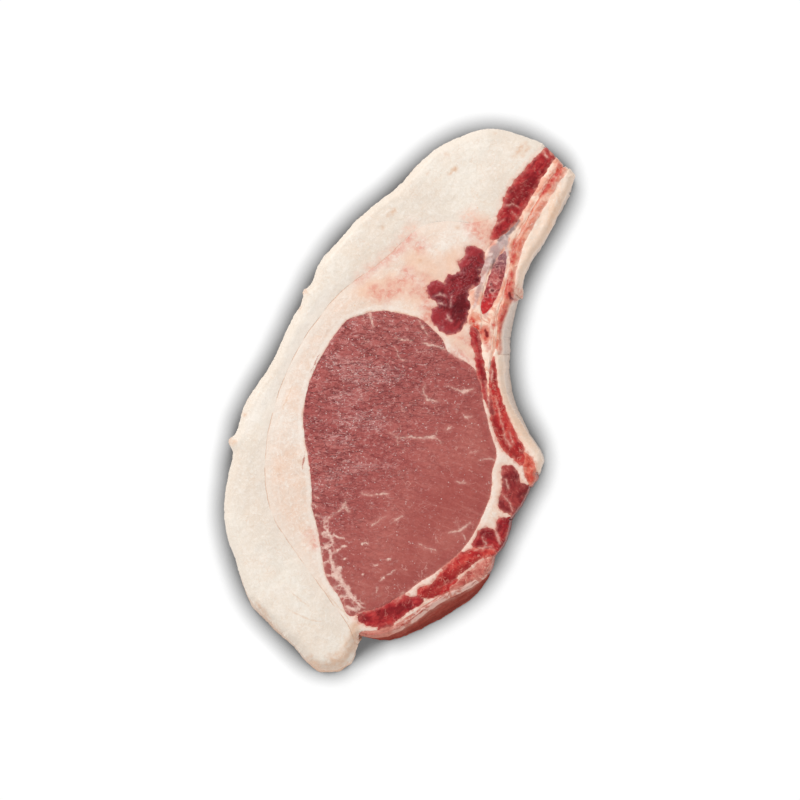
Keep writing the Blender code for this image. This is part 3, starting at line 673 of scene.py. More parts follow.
# Painted sheen and highlights on the eye, the outer fat's bright bands and the lobed muscle, and the
# bone's own grey-white walls.
PAINTED_SHEEN_AND_BONE_WALLS = (
    ("loin_eye", EYE_SHEEN),
    ("outer_fat", (
        ((-36.3, 6.8, 0.6), (-41.3, 0.1, 1.4), (-46.7, -8.6, 1.1)),
        ((-18.6, 38.3, 0.6), (-28.6, 21.6, 1.5), (-34.3, 9.9, 1.0)),
    )),
    ("lobed_muscle", (((5.9, 9.8, 1.2), (3.2, 3.7, 2.6), (-0.4, 0.4, 2.4)),)),
    ("rib_bone", (
        ((-1.7, 16.4, 0.5), (-4.8, 11.7, 1.2), (-8.1, 7.4, 1.9), (-11.1, 2.0, 1.1),
         (-12.8, -4.0, 0.7), (-14.1, -10.0, 0.4)),
        ((-3.4, 13.4, 0.4), (-3.8, 5.4, 0.6), (-5.4, -1.7, 0.5), (-7.8, -7.4, 0.4),
         (-10.5, -12.7, 0.3)),
    )),
)
WARM_PATCHES = (
    ("lobed_muscle", (
        ((6.6, 13.1, 1.6), (4.5, 12.5, 1.0)), ((3.0, 9.0, 1.1),), ((-6.5, 0.4, 1.2), (-5.0, 3.0, 0.8)),
        ((-2.8, -9.7, 0.5), (-1.0, -12.0, 0.3)),
    )),
    ("inner_fat", (
        ((-20.0, 32.5, 0.3), (-10.0, 37.0, 1.5), (0.0, 37.5, 2.5), (10.0, 36.0, 2.0)),
        ((-12.0, 47.0, 2.0), (-2.0, 48.0, 4.0), (8.0, 46.0, 3.0)),
        ((12.0, 38.0, 3.0), (16.0, 34.0, 2.5), (24.0, 26.0, 1.5)),
        ((6.0, 57.0, 3.0), (12.0, 52.0, 4.0), (20.0, 58.0, 3.0)),
        ((28.0, 69.0, 2.5), (31.0, 63.0, 2.0)),
    )),
)
DARK_PATCHES = (
    ("rib_strip_muscle", (((2.4, 4.3, 1.2), (-1.7, -0.7, 2.2), (-4.3, -3.7, 1.5)),)),
    # The lobed muscle's second stroke is a painted shade in the cleft between two lobes; its first is
    # the dark centre.
    ("lobed_muscle", (((1.5, -3.5, 1.5), (0.5, -8.0, 2.0)), ((2.5, 6.5, 0.3), (5.0, 8.5, 0.3)))),
    ("intercostal_muscle", (
        ((-4.7, 16.0, 0.8), (-4.0, 11.0, 0.9)),
        ((-6.0, 2.6, 0.5), (-3.7, -5.8, 0.7), (-0.3, -11.5, 1.0), (3.4, -15.1, 0.8)),
    )),
    ("lower_dark_muscle", (((-3.0, 1.0, 1.5), (2.0, 3.0, 1.0)), ((4.0, -3.0, 0.8),))),
    ("bottom_strip", (((-4.0, -1.0, 1.0), (3.0, 1.0, 1.2), (6.0, 2.5, 1.0)),)),
    ("lower_strip_bulb", (((-4.0, -2.5, 1.5), (0.0, 1.5, 1.9), (3.5, 4.0, 1.3)),)),
    ("lower_strip_upper", (((-6.0, -4.0, 0.8), (0.0, 0.0, 1.0), (5.0, 3.5, 0.5)),)),
    ("rib_bone", (
        ((0.6, 18.8, 0.4), (-1.4, 16.1, 0.6), (-3.4, 14.1, 0.3)),
        ((-4.1, 15.1, 0.4), (-5.8, 12.7, 0.4)),
        ((-7.5, 5.5, 0.4), (-8.2, 3.0, 0.4)),
    )),
)


def mark_fields(plan, table):
    """What the finishes know about each point of the plan, by attribute name."""
    wander = 0.45 * np.column_stack([grain(plan, 1.5, 90), grain(plan, 1.5, 91)])
    wander += 0.2 * np.column_stack([grain(plan, 0.6, 92), grain(plan, 0.6, 93)])
    points = plan + wander
    column = {node: table[:, index] for index, node in enumerate(NODES)}
    low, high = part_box("loin_eye")
    across, along = (plan - middle("loin_eye")).T
    slope = along / ((high.y - low.y) / MM) * 1.3 - across / ((high.x - low.x) / MM)
    fields = {
        "vein": np.minimum(gap_to(points, placed("loin_eye", EYE_VEINS)),
                           gap_to_marks(points, LEAN_STRANDS)),
        "web": gap_to(points, placed("loin_eye", EYE_WEB)),
        "island": gap_to(points, placed("loin_eye", EYE_ISLANDS)),
        "warmth": gap_to_marks(points, WARM_PATCHES),
        "stain": gap_to_marks(points, STAINS),
        "tan": gap_to_marks(points, TAN_MARKS),
        "crease": gap_to_marks(points, FAT_CREASES),
        "gash_and_shadow": gap_to_marks(points, GASHES_AND_FLAP_SHADOW),
        # pale: painted sheen and highlights, and the bone's grey-white walls
        "pale": gap_to_marks(points, PAINTED_SHEEN_AND_BONE_WALLS),
        "dark": gap_to_marks(points, DARK_PATCHES),
        "to_fat": np.minimum.reduce([column[name] for name in FATS]),
        "to_border": -table[:, :-1].min(1),
        "to_small": np.minimum.reduce([column[name] for name in SMALL_LEANS]),
        "to_eye": column["loin_eye"],
        "to_bone": column["rib_marrow"] - column["rib_bone"],
        "rib_layer": (column["pink_strip"] - column["rib_bone"]) / 2,
        "layer": (column["outer_fat"] - column["inner_fat"]) / 2,
        "coarse": ease(slope, -0.5, 0.5),
    }
    return fields


# ---- Heights of the faces ----

def blends(table):
    """Each tissue's share at every point: 1 well inside it and one half at its border."""
    shares = {node: ease(0.6 - table[:, index], 0.0, 1.2) for index, node in enumerate(NODES)}
    total = np.maximum(sum(shares.values()), 1e-6)
    return {node: share / total for node, share in shares.items()}


def share_of(shares, names):
    """Share of several tissues together."""
    return sum(shares[name] for name in names)


def relief(points, shares, seed):
    """Fine relief of a cut face: lumps of fat, grain of lean, and rough bone and gristle."""
    fat = (0.45 * rough(points, 10.0, 2, seed) + 0.2 * rough(points, 3.4, 3, seed + 1))
    eye = (0.14 * rough(points, 6.0, 2, seed + 2) + 0.13 * rough(points, 1.7, 3, seed + 3))
    lean = (0.42 * rough(points, 3.0, 2, seed + 4) + 0.26 * rough(points, 1.4, 2, seed + 5))
    hard = (0.20 * rough(points, 2.4, 3, seed + 6))
    others = [name for name in LEANS if name != "loin_eye"]
    lumps = 0.55 * rough(points, 3.6, 2, seed + 7)
    return (fat * share_of(shares, FATS) + lumps * shares["rib_side_fat"] + eye * shares["loin_eye"]
            + lean * share_of(shares, others)
            + hard * share_of(shares, BONY + ("pink_strip",)) * 1.4)


def upper_height(points, table, shares):
    """Height of the upper face before its rim is rounded."""
    inset = np.maximum(-table[:, :-1].min(1), 0)
    slope = 1 - np.minimum(inset / CROWN_REACH, 1)
    crown = sum(CROWNS.get(node, LOW_CROWN) * share for node, share in shares.items())
    waves = sum(rise * np.sin(2 * math.pi * (points[:, 0] / across + points[:, 1] / along) + phase)
                for rise, across, along, phase in FACE_WAVES)
    groove = -0.2 * (1 - ease(inset, 0.0, 0.8)) * (1 - share_of(shares, FATS))
    return THICKNESS + waves + crown * (1 - slope * slope) + groove + relief(points, shares, 0)


# ---- The outer edge ----

def evened(values, reach):
    """Values round a closed edge, each averaged with its neighbours."""
    return sum(np.roll(values, step, 0) for step in range(-reach, reach + 1)) / (2 * reach + 1)


def trims(places):
    """How far the outer edge is drawn in at each place."""
    total = np.full(len(places), EDGE_TRIM)
    for node, x, y, amount, radius in TRIMS:
        gap = np.linalg.norm(places - middle(node) - (x, y), axis=1)
        total += amount * np.exp(-(gap / radius) ** 2)
    return total


def edge_order(parts):
    """The points of the plan along the slice's outer edge, in order."""
    following = dict(border_edges(np.concatenate([parts[node] for node in sorted(parts)])))
    loop = [min(following)]
    while following[loop[-1]] != loop[0]:
        loop.append(following[loop[-1]])
    return np.array(loop)


def ways_out(places):
    """The direction that leads out of the slice at each place along its edge."""
    tangent = np.roll(places, -TANGENT_STEP, 0) - np.roll(places, TANGENT_STEP, 0)
    outward = evened(np.stack([tangent[:, 1], -tangent[:, 0]], 1), OUTWARD_SPAN)
    return outward / np.linalg.norm(outward, axis=1)[:, None]


def rim_radii(rows, tail):
    """Radius of the rounded upper rim at each place along the edge."""
    fat_columns = [NODES.index(name) for name in FATS + ("pink_strip",)]
    fatty = rows[:, fat_columns].min(1) <= rows[:, :-1].min(1) + 1e-6
    return evened(np.where(fatty, FAT_RIM + (TAIL_RIM - FAT_RIM) * tail, LEAN_RIM), RIM_SPAN)


def wall_slants(places, outward):
    """How far the foot of the CAD's wall lies outside its top, over the whole thickness."""
    feet = np.array(sorted({(round(x, 2), round(y, 2)) for node in NODES
                            for x, y, z in welded(node)[0].tolist()
                            if abs(z - FOOT_LEVEL) < 0.03}))
    tree = search_tree(feet)
    slant = []
    for (x, y), (nx, ny) in zip(places.tolist(), outward.tolist()):
        options = []
        for _, index, _ in tree.find_n((x, y, 0), 5):
            dx, dy = feet[index] - (x, y)
            options.append((abs(dx * ny - dy * nx), dx * nx + dy * ny))
        slant.append(min(options)[1])
    return evened(np.clip(slant, 0, 9), SLANT_SPAN) / ((HIGH_LEVEL - FOOT_LEVEL) / THICKNESS)


def nearest_edge(points, edge_points):
    """Distance from each point to the outer edge, and which point of the edge is nearest."""
    tree = search_tree(edge_points)
    found = [tree.find((x, y, 0)) for x, y in points.tolist()]
    return np.array([hit[2] for hit in found]), np.array([hit[1] for hit in found])


def spread_from_edge(points, edge_points, moves):
    """Moves given along the edge, averaged smoothly over the inside."""
    step = 12
    some, their_moves = edge_points[::step], moves[::step]
    total = np.zeros_like(points)
    weight = np.zeros(len(points))
    for place, move in zip(some, their_moves):
        near = 1 / (((points - place) ** 2).sum(1) + 1.0) ** 2
        total += near[:, None] * move
        weight += near
    return total / weight[:, None]


# ---- Bodies ----

def wall_profile(top, rim):
    """Heights and insets of the side wall from the rim down, one column for each edge point."""
    heights, insets = [], []
    for degrees in RIM_TURNS:
        angle = math.radians(degrees)
        heights.append(top - rim * (1 - math.cos(angle)))
        insets.append(rim * (1 - math.sin(angle)))
    count = round((THICKNESS - FAT_RIM - FOOT_RIM) / WALL_STEP)
    for step in range(1, count + 1):
        heights.append(heights[2] + (FOOT_RIM - heights[2]) * step / count)
        insets.append(np.zeros_like(rim))
    for degrees in FOOT_TURNS:
        angle = math.radians(degrees)
        heights.append(np.full_like(rim, FOOT_RIM * (1 - math.sin(angle))))
        insets.append(np.full_like(rim, FOOT_RIM * (1 - math.cos(angle))))
    return np.stack(heights), np.stack(insets)


class Slice:
    """The whole slice as shared points: the upper face, the rings of the wall and the underside."""

    def __init__(self):
        grid, triangles, shape = plan_grid()
        self.plan, self.table, parts = divide(grid, triangles, tissue_distances(grid, shape))
        self.parts = drop_crumbs(parts)
        self.shares = blends(self.table)
        self.edge = edge_order(self.parts)
        self.shape_edge(self.plan[self.edge])
        self.inset, self.nearest = nearest_edge(self.plan, self.plan[self.edge])
        self.height = upper_height(self.plan, self.table, self.shares)
        top, drop = self.upper_face()
        rings = self.wall()
        bottom = self.underside(rings[-1, :, :2])

        self.count = len(self.plan)
        self.rows = len(rings) - 1          # the last ring is the underside's own edge
        self.place_on_edge = {vertex: index for index, vertex in enumerate(self.edge.tolist())}
        self.points = np.concatenate([top, bottom, rings[:-1].reshape(-1, 3)])
        self.source = np.concatenate([np.arange(self.count), np.arange(self.count),
                                      np.tile(self.edge, self.rows)])
        rim_height = self.height[self.edge]
        fall = np.array([np.minimum(rim_height - ring[:, 2], FOOT_FADE * ring[:, 2])
                         for ring in rings[:-1]])
        self.depth = np.concatenate([np.maximum(drop - 0.1, 0), np.zeros(self.count),
                                     fall.ravel()])

    def shape_edge(self, places):
        """Way out, rim, slant and foot line of the wall at each place along the edge."""
        tail = ease(-places[:, 1], TAIL_START, TAIL_START + TAIL_RUN)
        self.outward = ways_out(places)
        self.rim = rim_radii(self.table[self.edge], tail)
        slant = wall_slants(places, self.outward)
        inward = slant * (1 - HIGH_LEVEL / THICKNESS) + trims(places)
        upright = evened(slant * TAIL_UPRIGHT * tail, SLANT_SPAN)
        self.slant = slant - upright
        self.base = places - self.outward * (inward - upright)[:, None]

    def upper_face(self):
        """Points of the upper face, and how far the rim's rounding lowers each."""
        begin = (self.slant * self.rim * (1 - math.cos(RIM_START)) / THICKNESS
                 - self.rim * (1 - math.sin(RIM_START)))
        shift = self.base + self.outward * begin[:, None] - self.plan[self.edge]
        fade = 1 - ease(self.inset, 0.0, RIM_FADE)
        upper = self.plan + shift[self.nearest] * fade[:, None]
        radius = self.rim[self.nearest]
        depth = self.inset + radius * (1 - math.sin(RIM_START))
        outside = np.maximum(radius - depth, 0)
        drop = radius - np.sqrt(np.maximum(radius ** 2 - outside ** 2, 0))
        return np.column_stack([upper, self.height - drop]), drop

    def wall(self):
        """Rings of points down the side wall, from the rim to the foot."""
        rim_height = self.height[self.edge]
        rings = []
        for level, cut in zip(*wall_profile(rim_height, self.rim)):
            reach = self.slant * (1 - level / THICKNESS) - cut
            rings.append(np.column_stack([self.base + self.outward * reach[:, None], level]))
        rings = np.array(rings)
        bulge = self.wall_relief(rings, rim_height)
        rings[:, :, :2] += self.outward * bulge[:, :, None]
        return rings

    def underside(self, foot):
        """Points of the underside, whose edge is the foot of the wall."""
        moves = foot - self.plan[self.edge]
        near = 1 - ease(self.inset, 0.0, FOOT_NEAR)
        moved = spread_from_edge(self.plan, self.plan[self.edge], moves)
        moved += (moves[self.nearest] - moved) * near[:, None]
        under = self.plan + moved * (1 - ease(self.inset, 0.0, LEAN_FADE))[:, None]
        under[self.edge] = foot
        hollow = 0.25 + 0.8 * relief(self.plan, self.shares, 40)
        lift = np.maximum(hollow, 0) * ease(self.inset, 0.0, 1.5)
        return np.column_stack([under, lift])

    def wall_relief(self, rings, rim_height):
        """How far the side wall stands out or in at each point."""
        flat = rings.reshape(-1, 3)
        count = len(rings)
        fat = np.tile(share_of(self.shares, FATS)[self.edge], count)
        lumpy = np.tile(self.shares["rib_side_fat"][self.edge], count)
        soft = 0.5 * rough(flat, 9.0, 2, 60) + 0.16 * rough(flat, 2.6, 2, 61)
        soft += 0.55 * rough(flat, 3.4, 2, 64) * lumpy
        coarse = 0.35 * rough(flat, 4.5, 2, 62) + 0.22 * rough(flat, 1.5, 2, 63)
        bulge = (fat * soft + (1 - fat) * coarse).reshape(rings.shape[:2])
        fall = rim_height - rings[:, :, 2]
        bulge *= ease(fall, 0.3, 4.0)
        for node, x, y, level, out, radius in BUMPS:
            gap = np.linalg.norm(rings - (*(middle(node) + (x, y)), level), axis=2)
            bulge += out * np.exp(-(gap / radius) ** 2)
        return bulge

    def column(self, vertex):
        """Shared points from the upper face to the underside at one point of the plan."""
        middle_ones = []
        if vertex in self.place_on_edge:
            start = 2 * self.count + self.place_on_edge[vertex]
            middle_ones = [start + row * len(self.edge) for row in range(self.rows)]
        return [vertex, *middle_ones, vertex + self.count]

    def body(self, node):
        """Triangles of one tissue's closed body."""
        upper = self.parts[node]
        under = upper[:, ::-1] + self.count
        walls = []
        for a, b in border_edges(upper):
            near, far = self.column(a), self.column(b)
            on_wall = len(near) == len(far) > 2
            if on_wall:
                for row in range(len(near) - 1):
                    walls.append((near[row], near[row + 1], far[row + 1]))
                    walls.append((near[row], far[row + 1], far[row]))
            else:
                ring = near + far[::-1]
                pivot = 0 if len(far) > 2 else len(near)
                turned = ring[pivot:] + ring[:pivot]
                walls += [(turned[0], turned[n], turned[n + 1]) for n in range(1, len(ring) - 1)]
        return np.concatenate([upper, under, np.array(walls)])

    def fields(self):
        """The finishes' attributes at every shared point."""
        plan = mark_fields(self.plan, self.table)
        plan["inset"] = self.inset
        fields = {name: values[self.source] for name, values in plan.items()}
        fields["depth"] = self.depth
        return fields


def make_piece(slice_mesh, fields, node, finish):
    """One tissue as a closed mesh object that stands for its CAD node."""
    triangles = slice_mesh.body(node)
    used, index = np.unique(triangles, return_inverse=True)
    triangles = index.reshape(-1, 3)
    mesh = bpy.data.meshes.new(f"{node}_tissue")
    mesh.from_pydata((slice_mesh.points[used] * MM).tolist(), [], triangles.tolist())
    for name, values in fields.items():
        layer = mesh.attributes.new(name, "FLOAT", "POINT")
        layer.data.foreach_set("value", values[used].astype(np.float32))
    mesh.shade_smooth()
    mesh.set_sharp_from_angle(angle=SHARP_ANGLE)
    mesh.materials.append(finish)
    piece = bpy.data.objects.new(f"{node}_tissue", mesh)
    bpy.context.scene.collection.objects.link(piece)
    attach(piece, "root")
    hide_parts(node)
    return piece


# ---- Finishes ----

def tint(code):
    """A colour from its six-figure code, as the linear values that a shader takes."""
    shares = [int(code[n:n + 2], 16) / 255 for n in (0, 2, 4)]
    linear = [share / 12.92 if share <= 0.04045 else ((share + 0.055) / 1.055) ** 2.4
              for share in shares]
    return (*linear, 1.0)


class Wire:
    """One value in a finish; sums written with it add the Math nodes."""

    def __init__(self, finish, socket):
        self.finish = finish
        self.socket = socket

    def math(self, operation, first, second):
        """The result of a Math node."""
        return self.finish.node("ShaderNodeMath", {"operation": operation}, {0: first, 1: second})

    def __add__(self, other):
        return self.math("ADD", self, other)

    def __sub__(self, other):
        return self.math("SUBTRACT", self, other)

    def __rsub__(self, other):
        return self.math("SUBTRACT", other, self)

    def __mul__(self, other):
        return self.math("MULTIPLY", self, other)

    def __abs__(self):
        return self.math("ABSOLUTE", self, 0.0)

    __radd__ = __add__
    __rmul__ = __mul__


class Finish:
    """A material under way: one shader, and the patterns that feed it."""

    def __init__(self, name, roughness=0.4, coat=0.1, specular=0.2):
        self.material = bpy.data.materials.new(name)
        self.material.use_nodes = True
        self.tree = self.material.node_tree
        self.tree.nodes.clear()
        self.shader = self.tree.nodes.new("ShaderNodeBsdfPrincipled")
        output = self.tree.nodes.new("ShaderNodeOutputMaterial")
        self.tree.links.new(self.shader.outputs[0], output.inputs[0])
        self.shader.inputs["Roughness"].default_value = roughness
        self.shader.inputs["Specular IOR Level"].default_value = specular
        self.shader.inputs["Coat Weight"].default_value = coat
        self.shader.inputs["Coat Roughness"].default_value = 0.2
        self.shader.inputs["Coat IOR"].default_value = 1.33
        here = self.node("ShaderNodeTexCoord", output="Object")
        self.place = self.node("ShaderNodeVectorMath", {"operation": "SCALE"},
                               {0: here, "Scale": 1 / MM})

    def node(self, kind, settings=None, values=None, output=0):
        """Add a node: its settings first, then the values or links of its sockets."""
        made = self.tree.nodes.new(kind)
        for name, value in (settings or {}).items():
            setattr(made, name, value)
        for name, value in (values or {}).items():
            if isinstance(value, Wire):
                self.tree.links.new(value.socket, made.inputs[name])
            else:
                made.inputs[name].default_value = value
        return Wire(self, made.outputs[output])

    def along(self, axis):
        """The place along one axis of the slice, in millimetres."""
        return self.node("ShaderNodeSeparateXYZ", None, {0: self.place}, axis)

    def course(self, x, y, z=0.0):
        """A place whose three parts are values of their own, for streaks that follow a shape."""
        return self.node("ShaderNodeCombineXYZ", None, {"X": x, "Y": y, "Z": z})

    def at(self, size, stretch=(1, 1, 1), seed=0.0, place=None):
        """The place on the slice, scaled so that one unit is one size."""
        return self.node("ShaderNodeVectorMath", {"operation": "MULTIPLY_ADD"},
                         {0: place or self.place, 1: [share / size for share in stretch],
                          2: (seed * 7.1, seed * 3.7, seed * 1.3)})

    def noise(self, size, detail=2.0, coarse=0.5, twist=0.0, **place):
        """Soft random waves of one size, from 0 to 1."""
        return self.node("ShaderNodeTexNoise", None,
                         {"Vector": self.at(size, **place), "Scale": 1.0, "Detail": detail,
                          "Roughness": coarse, "Distortion": twist})

    def cells(self, size, feature="F1", output="Distance", **place):
        """Random cells of one size: distance from each cell's middle or border."""
        return self.node("ShaderNodeTexVoronoi", {"feature": feature},
                         {"Vector": self.at(size, **place), "Scale": 1.0}, output)

    def shaken(self, size, reach, seed):
        """The place, pushed about by waves of one size."""
        waves = self.node("ShaderNodeTexNoise", None,
                          {"Vector": self.at(size, seed=seed), "Scale": 1.0, "Detail": 2.0}, 1)
        return self.node("ShaderNodeVectorMath", {"operation": "MULTIPLY_ADD"},
                         {0: waves, 1: (reach, reach, 0.0), 2: self.place})

    def mark(self, name):
        """A value that the mesh carries."""
        return self.node("ShaderNodeAttribute", {"attribute_name": name}, output="Fac")

    def over(self, value, low, high):
        """0 where a value is below low, 1 above high, and a smooth rise between."""
        return self.node("ShaderNodeMapRange", {"interpolation_type": "SMOOTHSTEP"},
                         {"Value": value, "From Min": low, "From Max": high})

    def under(self, value, low, high):
        """1 where a value is below low, 0 above high."""
        return 1 - self.over(value, low, high)

    def line(self, waves, width, middle=0.5):
        """1 along the lines where random waves cross one level."""
        return self.under(abs(waves - middle), width * 0.15, width)

    def wavy(self, name, size, reach, seed):
        """A value that the mesh carries, made ragged by waves of one size."""
        return self.mark(name) + (self.noise(size, 2.0, seed=seed) - 0.5) * (2 * reach)

    def blend(self, mask, below, above):
        """One colour over another where the mask is 1."""
        return self.node("ShaderNodeMix", {"data_type": "RGBA"}, {0: mask, 6: below, 7: above}, 2)

    def done(self, colour, height, depth, roughness=None):
        """Join up the colour and the fine relief, whose height of 1 is depth millimetres."""
        bump = self.node("ShaderNodeBump", None,
                         {"Strength": 1.0, "Distance": depth * MM, "Height": height})
        self.tree.links.new(colour.socket, self.shader.inputs["Base Color"])
        self.tree.links.new(bump.socket, self.shader.inputs["Normal"])
        if roughness:
            self.tree.links.new(roughness.socket, self.shader.inputs["Roughness"])
        return self.material


# The eye's grain runs across the slice at this slant.
GRAIN_COS, GRAIN_SIN = 0.93, 0.36

# Levels along the slice, in millimetres from the origin.
FASCIA_BROWN = (-4.0, 3.0)     # right of these the line between the two fats is no longer brown
CREAM_START = (-5.0, 4.0)      # where the side meat's creamy top begins, going right
BLUE_BONE = (44.0, 50.0)       # above these the sawn bone is bluish


def loin_finish():
    """The broad pink eye: short grain, fine creases darkened with painted shade, painted sheen and
    glints, and pale points that are partly painted glints, strongest at the upper left.
    """
    f = Finish("loin_meat", coat=0.12)
    coarse = f.mark("coarse")
    edge = f.mark("to_fat")
    tone = f.over(f.noise(15.0, 1.0, seed=1), 0.36, 0.64)
    colour = f.blend(tone, tint("a8544d"), tint("b4635a"))
    colour = f.blend(coarse * 0.4, colour, tint("a45456"))
    colour = f.blend(f.over(f.noise(5.0, 2.0, seed=2), 0.46, 0.70) * 0.5, colour, tint("a6524d"))
    colour = f.blend(f.under(edge, 0.5, 5.0) * 0.55, colour, tint("a94c48"))
    across, along = f.along("X"), f.along("Y")
    slanted = f.course(across * GRAIN_COS - along * GRAIN_SIN,
                       across * GRAIN_SIN + along * GRAIN_COS)
    streak = f.noise(2.4, 3.0, 0.6, twist=0.6, stretch=(0.3, 1.8, 1.0), place=slanted, seed=3)
    colour = f.blend(f.over(streak, 0.52, 0.70) * (0.3 - 0.2 * coarse), colour, tint("c67e74"))
    colour = f.blend(f.under(streak, 0.34, 0.48) * (0.3 - 0.2 * coarse), colour, tint("96443f"))
    grit = f.noise(0.75, 2.5, 0.6, twist=0.5, seed=4)
    short = f.noise(1.8, 3.0, 0.62, twist=0.9, stretch=(0.85, 1.5, 1.0), seed=5)
    colour = f.blend(f.under(grit, 0.36, 0.5) * (0.14 + 0.14 * coarse), colour, tint("853c3b"))
    colour = f.blend(f.over(grit, 0.54, 0.70) * (0.12 + 0.2 * coarse), colour, tint("ca918a"))
    colour = f.blend(f.under(short, 0.37, 0.5) * (0.1 + 0.22 * coarse), colour, tint("8d4341"))
    colour = f.blend(f.over(short, 0.54, 0.70) * (0.05 + 0.15 * coarse), colour, tint("c88f89"))
    # Dark lines of the wrinkles and creases: painted shade in the folds of the grain.
    bent = f.shaken(2.0, 1.6, 32)
    skin = f.cells(2.3, "DISTANCE_TO_EDGE", stretch=(0.5, 1.15, 1.0), place=bent, seed=33)
    shaded_wrinkle = f.under(skin, 0.02, 0.10) * f.over(f.noise(2.6, 2.0, seed=34), 0.42, 0.58)
    colour = f.blend(shaded_wrinkle * (0.06 + 0.5 * coarse), colour, tint("7a3031"))
    folds = f.noise(4.6, 2.0, 0.5, twist=1.3, stretch=(0.6, 1.5, 1.0), seed=6)
    small_folds = f.noise(2.9, 2.0, 0.5, twist=1.2, stretch=(0.7, 1.35, 1.0), seed=7)
    broken = f.noise(6.0, 1.0, seed=8)
    long_folds = f.noise(6.5, 3.0, 0.6, twist=0.7, stretch=(0.45, 1.5, 1.0), seed=30)
    crease = (f.line(folds, 0.02) * f.over(broken, 0.36, 0.5)
              + f.line(small_folds, 0.02) * f.over(broken, 0.46, 0.6) * 0.7
              + f.line(long_folds, 0.022) * f.under(broken, 0.56, 0.68))
    colour = f.blend(crease * (0.06 + 0.55 * coarse), colour, tint("7d3233"))
    # Painted sheen over the pale bands, and painted glints along fine ridges where the grain catches
    # the light.
    sheen = f.under(f.wavy("pale", 2.5, 0.8, 9), -0.8, 1.8)
    ridge = f.line(f.noise(1.7, 2.0, 0.5, twist=1.0, stretch=(0.6, 1.5, 1.0), seed=10), 0.04)
    painted_glint_share = f.over(f.noise(1.5, 1.0, seed=11) + sheen * 0.16 + coarse * 0.05, 0.52, 0.66)
    colour = f.blend(ridge * painted_glint_share * (0.2 + 0.35 * coarse), colour, tint("dcb0aa"))
    colour = f.blend(sheen * f.over(short, 0.42, 0.66) * 0.28, colour, tint("d6a8a3"))
    # Pale points: partly pale flecks of the meat and partly painted glints.
    point = f.under(f.cells(1.0, seed=12), 0.12, 0.3)
    chosen = f.over(f.noise(1.9, 1.0, seed=13) + sheen * 0.12 + coarse * 0.06, 0.58, 0.68)
    colour = f.blend(point * chosen * 0.7, colour, tint("e8c6c0"))
    vein = f.wavy("vein", 0.7, 0.36, 14)
    gaps = 0.4 + 0.6 * f.over(f.noise(1.3, 2.0, seed=31), 0.38, 0.56)
    colour = f.blend(f.under(vein, -0.1, 1.1) * 0.25, colour, tint("cb8c82"))
    colour = f.blend(f.under(vein, -0.35, 0.2) * gaps * 0.8, colour, tint("e8c1b2"))
    stray = f.line(f.noise(5.5, 2.0, 0.5, twist=1.5, seed=15), 0.02)
    stray = stray * f.over(f.noise(4.0, 1.0, seed=16), 0.54, 0.66)
    colour = f.blend(stray * 0.45, colour, tint("d9a196"))
    web = f.wavy("web", 0.9, 0.75, 17)
    colour = f.blend(f.under(web, 0.0, 2.2) * 0.2, colour, tint("98423f"))
    colour = f.blend(f.under(web, -0.1, 0.8) * 0.3, colour, tint("cd8d83"))
    colour = f.blend(f.under(web, -0.35, 0.3) * (0.3 + 0.7 * gaps), colour, tint("e9c6b8"))
    netted = f.cells(2.1, "DISTANCE_TO_EDGE", place=f.shaken(1.6, 1.3, 35), seed=36)
    lace = f.under(netted, 0.03, 0.15) * f.under(f.mark("web"), 0.5, 1.9) * f.under(edge, 4.0, 6.0)
    colour = f.blend(lace * (0.2 + 0.5 * gaps), colour, tint("dfb2a5"))
    island = f.wavy("island", 0.8, 0.25, 18)
    colour = f.blend(f.under(island, -0.3, 0.5) * 0.75, colour, tint("a0504b"))
    rim_gap = edge + (f.noise(0.8, 2.0, seed=21) - 0.5) * 1.2
    colour = f.blend(f.under(rim_gap, 0.0, 2.2) * (1 - coarse) * 0.35, colour, tint("c67d70"))
    colour = f.blend(f.under(rim_gap, -0.1, 0.6) * 0.6, colour, tint("d79f92"))
    height = grit * 0.3 + short * 0.5 + point * chosen * 0.2
    height = height - (crease + shaded_wrinkle) * (0.05 + 0.25 * coarse)
    return f.done(colour, height, 0.3, 0.34 + 0.2 * f.noise(2.0, 2.0, seed=22))


